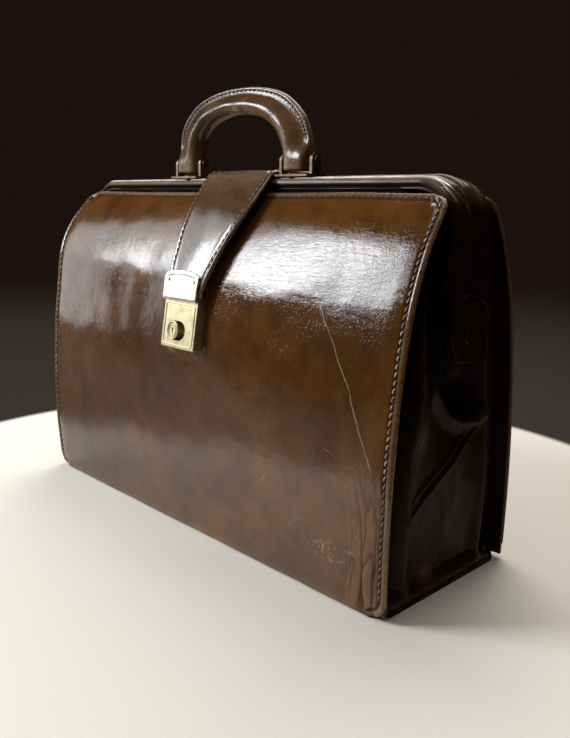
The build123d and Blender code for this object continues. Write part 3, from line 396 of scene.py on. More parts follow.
handle_leather = leather("handle_leather", (0.058, 0.027, 0.01), (0.175, 0.088, 0.033), (0.34, 0.5), 0.7, 700.0,
                         0.00016, tan=(0.42, 0.3, 0.19), mottle=1.6, coat_roughness=0.17)
brass = metal("brass", (0.62, 0.54, 0.34), (0.4, 0.32, 0.17), (0.34, 0.5), 0.45)
bracket_metal = metal("bracket_metal", (0.2, 0.14, 0.09), (0.07, 0.045, 0.03), (0.36, 0.56), 0.9)
hasp_metal = metal("hasp_metal", (0.95, 0.88, 0.7), (0.72, 0.62, 0.42), (0.3, 0.45), 0.18)
steel = metal("frame_steel", (0.5, 0.49, 0.47), (0.25, 0.22, 0.19), (0.3, 0.5), 0.7)
lining_cloth = woven("lining_cloth", (0.36, 0.27, 0.17), (0.22, 0.16, 0.1))
board_paper = fibre("board_paper", (0.4, 0.33, 0.24), (0.3, 0.24, 0.17))
WAXED = ((420.0, 0.4, 0.62), (2600.0, 2.0), (0.5, 0.0002), 0.5)
thread = fibre("thread", (0.46, 0.37, 0.28), (0.14, 0.09, 0.055), *WAXED)
brown_thread = fibre("brown_thread", (0.2, 0.135, 0.085), (0.07, 0.042, 0.025), *WAXED)
rope = fibre("rope", (0.5, 0.4, 0.26), (0.35, 0.27, 0.17))

# ---------------------------------------------------------------- camera, lights, floor
CAMERA_PLACE = (465.6, -413.9, 256.4)        # millimetres, from the middle of the bag's foot
CAMERA_YAW, CAMERA_PITCH, CAMERA_ROLL = radians(45.81), radians(12.39), radians(0.79)
LENS, SENSOR = 37.239, 36.0

camera_data = bpy.data.cameras.new("camera")
camera_data.sensor_width = SENSOR
camera_data.lens = LENS
camera_data.clip_start = 0.02
camera = bpy.data.objects.new("camera", camera_data)
camera.matrix_world = (Matrix.Translation([c * MM for c in CAMERA_PLACE])
                       @ Matrix.Rotation(CAMERA_YAW, 4, "Z")
                       @ Matrix.Rotation(pi / 2 - CAMERA_PITCH, 4, "X")
                       @ Matrix.Rotation(CAMERA_ROLL, 4, "Z"))
bpy.context.scene.collection.objects.link(camera)
bpy.context.scene.camera = camera


def area_light(name, place, target, size, power, colour):
    """A rectangular softbox that faces a target, in metres and watts."""
    data = bpy.data.lights.new(name, "AREA")
    data.shape = "RECTANGLE"
    data.size, data.size_y = size
    data.energy = power
    data.color = colour
    light = bpy.data.objects.new(name, data)
    light.location = place
    light.rotation_euler = (Vector(target) - Vector(place)).to_track_quat("-Z", "Y").to_euler()
    bpy.context.scene.collection.objects.link(light)


area_light("window", (-1.27, -1.29, 1.05), (0.05, -0.06, 0.2), (0.66, 0.95), 39.0, (0.9, 0.95, 1.0))
area_light("curtain", (-1.62, -0.82, 0.74), (0.0, -0.06, 0.2), (0.6, 1.45), 6.5, (0.93, 0.96, 1.0))
area_light("ceiling", (-0.5, 0.85, 1.7), (0, 0, 0.1), (1.5, 1.5), 30.0, (1.0, 0.96, 0.9))
area_light("room", (0.3, -0.6, 2.2), (0, 0, 0.1), (1.2, 1.2), 9.0, (1.0, 0.95, 0.88))

world = bpy.data.worlds.new("room")
world.use_nodes = True
world.node_tree.nodes["Background"].inputs["Color"].default_value = (0.0108, 0.0062, 0.0046, 1)
world.node_tree.nodes["Background"].inputs["Strength"].default_value = 1.0
bpy.context.scene.world = world
bpy.context.scene.view_settings.view_transform = "Standard"


def make_floor():
    """A pale table that fades into the dark room around it, with a painted shadow darkening its front-left part.
    Distances are metres from the bag's centre.
    """
    n = Nodes("floor")
    away = n.add("VectorMath", {"operation": "LENGTH"}, (n.place,)).outputs["Value"]
    front_left = n.add("VectorMath", {"operation": "DOT_PRODUCT"}, (n.place, (-0.55, -0.835, 0))).outputs["Value"]
    # The table darkens at its edge into the dark room, and a painted shadow falls over its front-left part.
    table_edge_and_shadow = n.math("MAXIMUM", n.remap(away, 0.375, 0.39), n.remap(front_left, 0.235, 0.345))
    tone = n.mix(n.remap(n.noise(900.0, 3.0), 0.3, 0.7), (0.86, 0.83, 0.74), (0.9, 0.875, 0.79))
    n.set(Base_Color=n.mix(table_edge_and_shadow, tone, (0.02, 0.014, 0.0105)), Roughness=0.6, Specular_IOR_Level=0.2,
          Normal=n.bump(n.noise(1400.0, 2.0), 0.15, 0.0003), Alpha=n.remap(away, 0.8, 2.6, 1.0, 0.0))
    reach, sides = 60000.0, 64
    rim = [(*on_arc((0, 0), reach, 2 * pi * k / sides), 0) for k in range(sides)]
    new_object("floor", rim, [tuple(range(sides))], n.material)


make_floor()

# ---------------------------------------------------------------- side walls
WALL_STEP = 2.2
FRONT_SEED, BACK_SEED = 1.0, 21.0
EDGE_ROWS = (0.0, 0.35, 0.9, 1.8, 3.0)      # extra rows close to every edge, for its rounding
STITCH_INSET = 5.0
STITCH_PITCH = 4.9
WORN_THREAD_BELOW = 92.0
CREASED_REACH = 44.0         # how far from the right edge the bottom corner is creased
RIM_BAND = 4.4               # the whipped band along the rim


def graded(length, step, extra=EDGE_ROWS):
    """Places along a length, close together at both ends."""
    inner = np.linspace(extra[-1], length - extra[-1], int((length - 2 * extra[-1]) / step) + 1)
    return [*extra[:-1], *inner, *[length - e for e in reversed(extra[:-1])]]


wall_lengths = graded(WALL_LENGTH, WALL_STEP)
wall_places = graded(2 * HALF_LENGTH, WALL_STEP)
creased_from = 2 * HALF_LENGTH - CREASED_REACH
wall_places = sorted({*[p for p in wall_places if not creased_from < p < 2 * HALF_LENGTH - EDGE_ROWS[-1]],
                      *np.arange(creased_from + 0.4, 2 * HALF_LENGTH - EDGE_ROWS[-1] - 0.4, 0.8)})
wall_shares = [p / HALF_LENGTH - 1 for p in wall_places]


def wall_half_width(length):
    """Half width of the wall at a length along it, with its four corners rounded."""
    return HALF_LENGTH - max(round_drop(length, FOOT_CORNER), round_drop(WALL_LENGTH - length, RIM_CORNER))


def side_distance(x, length):
    """Distance to the wall's side edge, which curves in at the corners."""
    to_side = HALF_LENGTH - abs(x)
    for to_end, radius in ((length, FOOT_CORNER), (WALL_LENGTH - length, RIM_CORNER)):
        if to_side < radius and to_end < radius:
            return radius - hypot(radius - to_side, radius - to_end)
    return to_side


def edge_distance(x, length):
    """Distance to the nearest edge of the wall's outline."""
    return min(side_distance(x, length), length, WALL_LENGTH - length)


def side_lean(x, length):
    """How the real wall departs from its mean profile: fuller on the left, flatter on the right."""
    share = length / WALL_LENGTH
    swell = sin(pi * min(share * 1.06, 1.0)) ** 1.2
    left = smooth(30, HALF_LENGTH, -x) * (3.0 * swell + 4.5 * bump(share, 0.82, 0.13))
    right = -smooth(30, HALF_LENGTH, x) * (2.0 * swell + 3.5 * bump(share, 0.78, 0.15))
    return left + right


def corner_share(x, length):
    """1 in the bottom right corner, which is softened and creased by use."""
    inset = HALF_LENGTH - x
    stitched = smooth(STITCH_INSET, STITCH_INSET + 3, inset)
    return (1 - smooth(14, 40, inset)) * (1 - smooth(30, 112, length)) * stitched


def corner_crease(x, length, seed):
    """Depth, 0 to 1, of the sharp creases that run up from the bottom right corner."""
    bend = x + 0.0016 * (length - 30) ** 2
    line = ripple(bend * 0.17, length * 0.013, seed + 9)
    second = ripple((x - 0.22 * length) * 0.14, length * 0.03, seed + 17)
    depth = max(1 - smooth(0.0, 0.13, abs(line)), 0.7 * (1 - smooth(0.0, 0.12, abs(second))))
    return depth * corner_share(x, length)


def wall_relief(x, length, seed, front):
    """Height of the leather above the mean surface: stitch groove, edge roll, soft waves and creases."""
    edge, to_side, to_rim = edge_distance(x, length), side_distance(x, length), WALL_LENGTH - length
    if to_side < RIM_CORNER and to_rim < RIM_CORNER:
        to_rim = to_side
    relief = -0.9 * bump(to_side, STITCH_INSET, 1.2) + 0.35 * bump(to_side, 2.3, 1.5)
    relief += 0.12 * bump(to_side, 2.3, 1.8) * cos(2 * pi * length / STITCH_PITCH)
    relief -= 1.1 * (1 - smooth(0, 19, to_side)) ** 1.5 + 1.2 * (1 - smooth(0.0, 1.8, edge)) ** 2
    relief += 0.8 * (1 - smooth(RIM_BAND - 1.2, RIM_BAND + 0.4, to_rim)) - 0.5 * bump(to_rim, RIM_BAND + 1.4, 1.0)
    relief += 0.9 * ripple(x * 0.012, length * 0.016, seed) + 0.22 * ripple(x * 0.045, length * 0.05, seed + 5)
    folds = (0.8 if front else 0.4) * ripple(x * 0.1, length * 0.02, seed + 14)
    relief += corner_share(x, length) * folds - 0.9 * corner_crease(x, length, seed)
    shoulder = bump(length, BELLY_LENGTH + 4, 16) * (0.16 if front else 0.1)
    return relief + shoulder * ripple(x * 0.025, length * 0.3, seed + 3)


def wall_wear(x, length, front):
    """Rubbed places: the edges, the two bottom corners and the foot, and a halo under the lock."""
    corner = (1 - smooth(0, 26, HALF_LENGTH - abs(x))) * (1 - smooth(0, 22, length))
    wear = max(0.5 * (1 - smooth(0.3, 3.4, edge_distance(x, length))), (0.95 if x > 0 else 0.6) * corner,
               0.34 * (1 - smooth(RIM_BAND - 1.5, RIM_BAND, WALL_LENGTH - length)), 0.35 * (1 - smooth(0, 7, length)))
    if not front:
        return wear
    halo = 0.5 * bump(hypot(max(abs(x) - 15, 0), length - 150), 6, 5) * (length < 150)
    return max(wear, 0.16 * bump(x, 88, 10) * bump(length, 88, 18), halo)


def wall_painted_shade(x, length, front):
    """Painted shade: in the stitch groove, in the recess under the frame and in the corner's creases, and a painted
    contact shadow along the foot.
    """
    return max(0.85 * bump(side_distance(x, length), STITCH_INSET, 1.3), 0.4 * (1 - smooth(0.5, 3.5, length)),
               0.7 * bump(WALL_LENGTH - length, RIM_BAND + 1.2, 0.8),
               0.8 * corner_crease(x, length, FRONT_SEED) if front else 0.0)


def wall_scuff(x, length):
    """Where the front's finish is scuffed off in pale specks."""
    return max(0.75 * bump(x, 155, 15) * bump(length, 34 - 0.12 * (x - 155), 6),
               0.45 * bump(x, 122, 9) * bump(length, 44, 6), 0.3 * bump(x, 100, 12) * bump(length, 160, 5))


def wall_crease(x, length, front):
    """Where the leather is crackled: across the shoulder, most on the right, and in the bottom right corner."""
    shoulder = bump(length, BELLY_LENGTH + 32, 26) * (0.45 + 0.55 * smooth(-60, 120, x))
    corner = (1 - smooth(0, 70, HALF_LENGTH - x)) * (1 - smooth(0, 80, length))
    return max(shoulder, 0.8 * corner, 0.12) if front else max(0.5 * shoulder, 0.1)


def wall_point(x, length, seed, front):
    """A point on the outside of the front wall, or of the back wall turned to the front."""
    depth, height = wall_at(length, side_lean(x, length) + wall_relief(x, length, seed, front))
    return (x, -depth, max(height, 0.3))


def make_wall(side, material, seed):
    """One big leather side with its thickness, corners, creases and stitch groove."""
    front = side == "front"

    def place(r, c):
        length = wall_lengths[r]
        return wall_shares[c] * wall_half_width(length), length

    def point(r, c, inside):
        x, length = place(r, c)
        if not inside:
            return wall_point(x, length, seed, front)
        edge = 1 - smooth(0, 2.4, edge_distance(x, length))
        depth, height = wall_at(length, side_lean(x, length) - LEATHER + 0.5 * edge)
        return (x, -depth, max(height, 0.3))

    # Painted shade goes in as an attribute: in the stitch groove, the recess under the frame and the creases, and as
    # a painted contact shadow along the foot.
    attributes = {"wear": lambda r, c: wall_wear(*place(r, c), front),
                  "dirt": lambda r, c: wall_painted_shade(*place(r, c), front),
                  "crease": lambda r, c: wall_crease(*place(r, c), front)}
    if front:
        attributes["scuff"] = lambda r, c: wall_scuff(*place(r, c))
    wall = sheet_object(side + "_leather", len(wall_lengths), len(wall_shares), point, (False, True), material,
                        attributes, mirror_y=not front)
    fit(wall, "body_leather", side + "_side", side + "_panel")


def wall_normal(x, length, seed, front):
    """The outward normal of the front wall at a place."""
    step = 0.6
    here, across, along = (Vector(wall_point(*place, seed, front))
                           for place in ((x, length), (x + step, length), (x, length + step)))
    return (across - here).cross(along - here).normalized()


def wall_stitches(seed, front):
    """The thread along both sides, slanted a little."""
    stitches = []
    slant, span = 0.5, STITCH_PITCH * 0.74
    length = FOOT_CORNER
    while length < WALL_LENGTH - 9:
        for x in (STITCH_INSET - HALF_LENGTH, HALF_LENGTH - STITCH_INSET):
            stitches.append((wall_point(x - slant, length, seed, front),
                             wall_point(x + slant, length + span, seed, front),
                             wall_normal(x, length + span / 2, seed, front)))
        length += STITCH_PITCH
    return stitches


def rim_stitches(seed, front):
    """The slanted whipping over the rim."""
    stitches = []
    x = RIM_CORNER - HALF_LENGTH
    while x < HALF_LENGTH - RIM_CORNER:
        stitches.append((wall_point(x - 1.8, WALL_LENGTH - RIM_BAND - 0.3, seed, front),
                         wall_point(x + 2.0, WALL_LENGTH - 0.4, seed, front),
                         wall_normal(x, WALL_LENGTH - 3, seed, front)))
        x += STITCH_PITCH
    return stitches


def make_wall_threads(side, seed):
    """Pale thread along one wall's sides; brown thread on its rim and where the side thread is worn."""
    front = side == "front"
    along_sides = wall_stitches(seed, front)
    clean = [stitch for stitch in along_sides if stitch[0][2] > WORN_THREAD_BELOW]
    worn = [stitch for stitch in along_sides if stitch[0][2] <= WORN_THREAD_BELOW]
    for name, stitches, *look in (("_thread", clean, thread, 0.75, 0.05),
                                  ("_rim_thread", rim_stitches(seed, front) + worn, brown_thread, 0.7, 0.2)):
        if not front:
            stitches = [[Vector(v) * Vector((1, -1, 1)) for v in stitch] for stitch in stitches]
        fit(stitch_object(side + name, stitches, *look), "body_leather", side + "_side")


for wall_side, wall_material, wall_seed in (("front", body_leather, FRONT_SEED), ("back", back_leather, BACK_SEED)):
    make_wall(wall_side, wall_material, wall_seed)
    make_wall_threads(wall_side, wall_seed)


# ---------------------------------------------------------------- linings
def make_lining(name, side):
    """The cloth that lines one leather side, following its lean."""
    node = name + "_lining"
    low, high = node_span(node, 2)
    reach = node_span(node, 0)[1] - 12
    lengths = [s for s in np.linspace(0, WALL_LENGTH, 120) if low <= wall_at(s)[1] - 1.5 <= high + 1.5]
    places = np.linspace(-reach, reach, 120)

    def point(r, c, offset):
        depth, height = wall_at(lengths[r], side_lean(places[c], lengths[r]) + offset)
        return (places[c], side * depth, max(height, low))

    lining = sheet_object(name + "_cloth", len(lengths), len(places), point, (-LEATHER - 0.1, -LEATHER - 0.9),
                          lining_cloth, flip=side > 0)
    fit(lining, "lining", name + "_side", node)


make_lining("front", -1)
make_lining("back", 1)


# ---------------------------------------------------------------- gussets
GUSSET_LEATHER = 2.0
GUSSET_LOW, GUSSET_HIGH = 3.4, 257.0
PLEATED = 0.72               # share of the gusset's half that the pleated section takes
RIGHT_SEED, LEFT_SEED = 31.0, 61.0
# Places (x, distance from the wall) of the pleated section: flange, deep groove, ridge and web
GUSSET_SECTION = [(202.2, 1.2), (199.0, 1.2), (195.0, 1.4), (190.0, 1.9), (186.2, 3.8), (184.3, 7.0), (184.4, 11.0),
                  (187.0, 15.5), (192.2, 19.6), (196.6, 22.6), (198.2, 24.8), (197.0, 27.6), (194.4, 31.0),
                  (193.0, 36.0), (192.6, 44.0)]
FOLD_RIDGE = [(-24, 152), (-13, 134), (0, 120), (14, 113.5), (30, 112.5), (42, 118)]
CREASE = [(32, 108), (-40, 58)]


def catmull(points, t):
    """A smooth curve through points, for t from 0 to 1."""
    count = len(points) - 1
    k = min(int(t * count), count - 1)
    u = t * count - k
    a, b, c, d = (np.array(points[min(max(k + i, 0), count)], dtype=float) for i in (-1, 0, 1, 2))
    square, cube = 2 * a - 5 * b + 4 * c - d, 3 * b - a - 3 * c + d
    return tuple(0.5 * (2 * b + (c - a) * u + square * u ** 2 + cube * u ** 3))


def line_distance(y, z, points):
    """Distance from a place to a broken line, and how far along it the nearest place is (0 to 1)."""
    places = []
    for k, ((ay, az), (by, bz)) in enumerate(zip(points, points[1:])):
        span = (by - ay) ** 2 + (bz - az) ** 2
        t = min(max(((y - ay) * (by - ay) + (z - az) * (bz - az)) / span, 0), 1)
        distance = hypot(y - ay - t * (by - ay), z - az - t * (bz - az))
        places.append((distance, (k + t) / (len(points) - 1)))
    return min(places, key=lambda place: place[0])


def gusset_relief(y, z, seed):
    """Folds of the middle of the gusset, towards the outside."""
    relief = 7.0 * bump(y, -33, 12) * bump(z, 131, 20) - 8.5 * bump(y, 12, 19) * bump(z, 137, 15)
    distance, along = line_distance(y, z, FOLD_RIDGE)
    relief += 6.5 * bump(distance, 0, 5.0) * sin(pi * min(max(along * 0.9 + 0.08, 0), 1)) ** 0.5
    relief -= 4.0 * smooth(140, 165, z) * (1 - smooth(26, 36, abs(y)))
    distance, _ = line_distance(y, z, CREASE)
    relief += 1.6 * bump(distance, 2.6, 2.4) - 1.8 * bump(distance, 0, 1.6) + 2.4 * bump(z, 80, 38) * bump(y, 12, 26)
    return relief + 1.1 * ripple(y * 0.05, z * 0.022, seed) + 0.5 * ripple(y * 0.13, z * 0.07, seed + 4)


def gusset_point(t, z, half, end, seed):
    """A point of a gusset: t runs from the wall to the middle, half is -1 in front, end is 1 on the right."""
    lean = side_lean(end * HALF_LENGTH, np.interp(z, wall_heights, wall_lengths_for_height))
    depth = np.interp(z, wall_heights, wall_depths) - LEATHER + lean
    share = min(depth / 62.0, 1.0)
    if t < PLEATED:
        x, w = catmull(GUSSET_SECTION, t / PLEATED)
        w *= share if w > 2 else 1.0
    else:
        x, w = GUSSET_SECTION[-1]
        w = w * share + (depth - w * share) * (t - PLEATED) / (1 - PLEATED)
    y = half * (depth - w)
    if w > 2.5:
        x = 190.0 + (x - 190.0) * (1 - 0.55 * smooth(168, 215, z))
    x += smooth(14, 26, w) * gusset_relief(-y if seed == LEFT_SEED else y, z, seed)
    x += 0.7 * ripple(w * 0.1, z * 0.03, seed + 8) * smooth(3, 10, w)
    x += (199.4 - x) * (1 - smooth(4, 15, z)) * smooth(2.4, 12, w)
    x = min(x, 201.6 if w > 3 else 202.4)
    if z > 150 and abs(y) < 27:      # clear of the frame's arms
        x = min(x, 195.2)
    return (end * x, y, z)


wall_lengths_for_height = np.linspace(0, WALL_LENGTH, 200)
wall_heights = np.array([wall_at(s)[1] for s in wall_lengths_for_height])
wall_depths = np.array([wall_at(s)[0] for s in wall_lengths_for_height])


def make_gusset(node, wall, end, half, seed):
    """Half of a pleated gusset, from its wall to the middle of the bag."""
    shares = [*np.linspace(0, PLEATED, 46), *np.linspace(PLEATED, 1, 26)[1:]]
    heights = [*np.linspace(GUSSET_LOW, 16, 8), *np.linspace(16, GUSSET_HIGH, 112)[1:]]

    def point(r, c, inside):
        place, ahead, behind = (Vector(gusset_point(min(max(shares[c] + step, 0), 1), heights[r], half, end, seed))
                                for step in (0, 0.004, -0.004))
        normal = (ahead - behind).normalized().cross(Vector((0, 0, 1))).normalized() * half * end
        return tuple(place + normal * GUSSET_LEATHER if inside else place)

    def wear(r, c):
        z, t = heights[r], shares[c]
        _, y, _ = gusset_point(t, z, half, end, seed)
        distance, _ = line_distance(-y if seed == LEFT_SEED else y, z, FOLD_RIDGE)
        return max(0.9 * (1 - smooth(0.0, 0.02, t)), 0.35 * bump(t, PLEATED * 10 / 14, 0.035),
                   0.9 * bump(y, -16, 7) * bump(z, 14, 6), 0.5 * (1 - smooth(4, 9, z)), 0.25 * bump(distance, 0, 2.5))

    gusset = sheet_object(f"{node}_{wall}", len(heights), len(shares), point, (False, True), gusset_leather,
                          {"wear": wear}, flip=half * end > 0)
    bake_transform(gusset)
    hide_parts(node)


for wall_side, half_sign in (("front", -1), ("back", 1)):
    make_gusset("gusset_right", wall_side, 1, half_sign, RIGHT_SEED)
    make_gusset("gusset_left", wall_side, -1, half_sign, LEFT_SEED)

# ---------------------------------------------------------------- frame covers
COVER_GAP = 0.5
ARM_FAR = 21.0
CORNER_Z = FRAME_TOP - FRAME_CORNER
CORNER_X = FRAME_HALF - FRAME_CORNER
TONGUE_BOTTOM = 157.2
LAYER_TOP = 198.9            # below this the front tongues lie over the back ones, in two layers
RELIEF_RADIUS = 24.3         # round cut in the back arms that clears the front tongues
BACK_ARM_END = 178.0


def jaw_rows(bottom):
    """Stations along the frame from the right tongue over the top to the left one: kind and place."""
    arm = [("arm", z) for z in (*np.linspace(bottom, bottom + 4, 9), *np.linspace(bottom + 5, LAYER_TOP - 0.1, 26),
                                *np.linspace(LAYER_TOP + 0.1, CORNER_Z, 22))]
    corner = [("corner", a) for a in np.linspace(0, 90, 20)[1:-1]]
    half = [(kind, value, 1) for kind, value in arm + corner]
    top = [("top", x, 1) for x in np.linspace(CORNER_X, -CORNER_X, 90)]
    return half + top + [(kind, value, -1) for kind, value, _ in reversed(half)]


def place_on_jaw(row, n):
    """x and z of a place n outside the frame's outline at a station."""
    kind, value, side = row
    if kind == "arm":
        return side * (FRAME_HALF + n), value
    if kind == "top":
        return value, FRAME_TOP + n
    x, z = on_arc((CORNER_X, CORNER_Z), FRAME_CORNER + n, radians(value))
    return side * x, z


def arm_share(row):
    """0 on the top, 1 on the arms, eased round the corner."""
    kind, value, _ = row
    return 1.0 if kind == "arm" else 0.0 if kind == "top" else 1 - smooth(0, 90, value)


def front_arm(row):
    """Near edge, far edge (towards the front) and inner face of the front cover at a station."""
    near, far, inner = COVER_GAP + 6.0 * arm_share(row), ARM_FAR, -JAW_THICKNESS
    if row[0] == "arm":
        z = row[1]
        far = 17.5 + 3.5 * smooth(175, 248, z)
        if z < LAYER_TOP:
            inner = -3.3
            near = min(near, -chord(TONGUE_RADIUS + 4.8 * smooth(163, 186, z), z - PIVOT_Z))
            if z < PIVOT_Z:
                far = max(chord(18.6, z - PIVOT_Z), 2.0) - 1.1
    return near, far, inner


def back_arm(row):
    """The same for the back cover, which ends beside the front one's tongue."""
    near, far = COVER_GAP - 6.6 * arm_share(row), ARM_FAR
    if row[0] == "arm":
        z = row[1]
        far = ARM_FAR + 7.0 * bump(z, 197, 17)
        if z < PIVOT_Z + RELIEF_RADIUS:
            near = max(near, chord(RELIEF_RADIUS, z - PIVOT_Z))
            far = near + (far - near) * smooth(BACK_ARM_END - 3, 194, z) + 0.4
    return near, far, -JAW_THICKNESS


def jaw_ring(row, front):
    """Closed section of a cover as (distance from the seam, distance outside the outline)."""
    share = arm_share(row)
    near, far, inner = front_arm(row) if front else back_arm(row)
    widest = min(-inner / 2.2, (far - near) / 2.1)
    near_round, far_round = min(1.5, widest), min(3.4 - 1.2 * share, widest)
    bead_at = 18.9 - 10.7 * share if front else 3.0 + near * share
    bead = 1.5 - 0.8 * share if front else 0.8 - 0.2 * share
    slope = (3.0 if front else 1.5) * (1 - share)
    ring = []
    for place in np.linspace(0, 1, 30):
        a = near + (far - near) * (0.5 - 0.5 * cos(pi * place))
        raised = bead * bump(a, bead_at, 1.8) - 0.6 * bump(a, bead_at - 3.6, 1.3) - 0.3 * bump(a, bead_at + 3.4, 1.2)
        ring.append((a, raised - slope * smooth(7, 19, a)
                     - max(round_drop(a - near, near_round), round_drop(far - a, far_round))))
    start = -far_round - slope
    for n in np.linspace(start, inner + 0.6, 5)[1:]:
        undercut = 1.5 * (1 - share) * smooth(0, 1.5, start - n)
        ring.append((far - undercut + 0.2 * share * bump(n, 0.45 * inner, 1.6), n))
    ring += [(a, inner) for a in np.linspace(far - 0.5, near + 0.5, 6)]
    return ring + [(near, n) for n in np.linspace(inner + 0.6, -near_round, 4)[:-1]]


def make_jaw_cover(name, side):
    """Leather wrapped over the steel frame, with its bead, arms and rounded tongues."""
    front = side < 0
    rows = jaw_rows(TONGUE_BOTTOM if front else BACK_ARM_END)
    vertices, wear, dirt = [], [], []
    for row in rows:
        share = arm_share(row)
        worn_at = 18.9 - 10.7 * share
        corner = 0.45 * bump(row[1], 42, 26) if row[0] == "corner" else 0.0
        for a, n in jaw_ring(row, front):
            x, z = place_on_jaw(row, n)
            wobble = 0.22 * ripple(x * 0.03, a * 0.12, z * 0.03 + side)
            x, z = place_on_jaw(row, n + (wobble if n > -4 else 0))
            vertices.append((x, side * a, z))
            tip = 0.6 * (1 - smooth(TONGUE_BOTTOM, TONGUE_BOTTOM + 3.5, z)) if front else 0.0
            wear.append(max(corner * bump(a, worn_at, 3), 0.7 * bump(a, worn_at, 1.8) * (1 - 0.8 * share), tip))
            # Painted shade: darker and duller on the arms, which face the sides, and a painted shadow on the front
            # face under the bead.
            shadow_under_bead = smooth(3.8, 5.4, -n) * smooth(19, 20.2, a)
            dirt.append(max(0.8 * smooth(0.3, 0.95, share), 0.95 * shadow_under_bead * (1 - share)))
    faces = bar_faces(len(rows), len(vertices) // len(rows), flip=front)
    cover = new_object(name + "_cover", vertices, faces, frame_leather)
    set_attribute(cover, "wear", wear)
    set_attribute(cover, "dirt", dirt)
    fit(cover, "frame_leather", name + "_frame", name + "_jaw_cover")


def make_frame_strip(name, side):
    """The welt that joins a wall's rim to its jaw, hanging as a soft band."""
    node = name + "_frame_strip"
    low, high = node_span(node, 2)
    reach = node_span(node, 0)[1] + 20
    places = np.linspace(-reach, reach, 150)
    section = [(24.5, low - 6), (24.0, low), (22.6, low + 6), (20.6, low + 11), (19.6, high - 3), (19.8, high + 1.5)]
    profile = [catmull(section, share) for share in np.linspace(0, 1, 14)]

    def point(r, c, thickness):
        x, (depth, z) = places[c], profile[r]
        depth += 0.5 * ripple(x * 0.03, z * 0.06, side) - thickness
        return (x, side * depth, z - 16 * (1 - smooth(0, 34, reach - abs(x))))

    # Painted shade all over the strip, which lies in the dark gap under the jaw.
    strip = sheet_object(name + "_strip", len(profile), len(places), point, (0, 1.6), gusset_leather,
                         {"dirt": lambda r, c: 0.95}, flip=side > 0)
    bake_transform(strip)
    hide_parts(node)


def make_back_tongues():
    """The back cover's own round ends, in the layer under the front cover's tongues."""
    angles = [2 * pi * k / 72 for k in range(72)]
    section = [(-1.6, -3.9), (-0.25, -4.2), (0.0, -5.5), (-0.25, -6.9), (-1.6, -7.2)]
    vertices, faces = [], []
    for side in (1, -1):
        faces += bar_faces(len(section), len(angles), start=len(vertices), flip=side > 0)
        for inset, n in section:
            for a in angles:
                y, z = on_arc((0, PIVOT_Z), TONGUE_RADIUS + 6.5 * bump(degrees(a), 48, 20) + inset, a)
                vertices.append((side * (FRAME_HALF + n), y, z))
    tongues = new_object("back_tongues", vertices, faces, frame_leather)
    # Painted shade all over, for the layer under the front tongues.
    set_attribute(tongues, "dirt", [0.9] * len(vertices))
    fit(tongues, "frame_leather", "back_frame")


make_back_tongues()
for frame_side, frame_sign in (("front", -1), ("back", 1)):
    make_jaw_cover(frame_side, frame_sign)
    make_frame_strip(frame_side, frame_sign)

# ---------------------------------------------------------------- handle
HANDLE_Y = -11.0
HANDLE_OUTER = [(76.4, 277.5), (77.0, 287), (76.0, 301), (69.5, 317), (51.5, 331.5), (27, 338.5), (0, 340.5)]
HANDLE_INNER = [(50.6, 277.5), (50.3, 287), (47.5, 297), (42.5, 306.5), (31.5, 315), (17, 320), (0, 321.5)]
GRIP_HALF = 8.6
FIN_HALF = 2.3
ROLL = 0.33                  # share of the width, from the inner edge, where the grip is thickest
FIN_SEAM = 0.86              # and where the fin is stitched
HANDLE_SHIFT = -2.0


def handle_line(points, t):
    """A place on one of the handle's edge lines, t from the right foot to the left one."""
    x, z = catmull(points + [(-x, z) for x, z in reversed(points[:-1])], t)
    return x + HANDLE_SHIFT * smooth(290, 320, z), z


def handle_place(t, share):
    """x and z of a place at a share of the handle's width from its inner edge."""
    (inner_x, inner_z), (outer_x, outer_z) = handle_line(HANDLE_INNER, t), handle_line(HANDLE_OUTER, t)
    return inner_x + (outer_x - inner_x) * share, inner_z + (outer_z - inner_z) * share


def grip_half(share, foot):
    """Half thickness of the handle at a share of its width from the inner edge, thinner at the feet."""
    if share < ROLL:
        half = GRIP_HALF * chord(1, (share - ROLL) / 0.335)
    else:
        half = FIN_HALF + (GRIP_HALF - FIN_HALF) * (1 - smooth(ROLL, 0.80, share))
        half = half * chord(1, max(share - 0.95, 0) / 0.05) - 0.35 * bump(share, FIN_SEAM, 0.03)
    return half * (1 - 0.12 * foot)


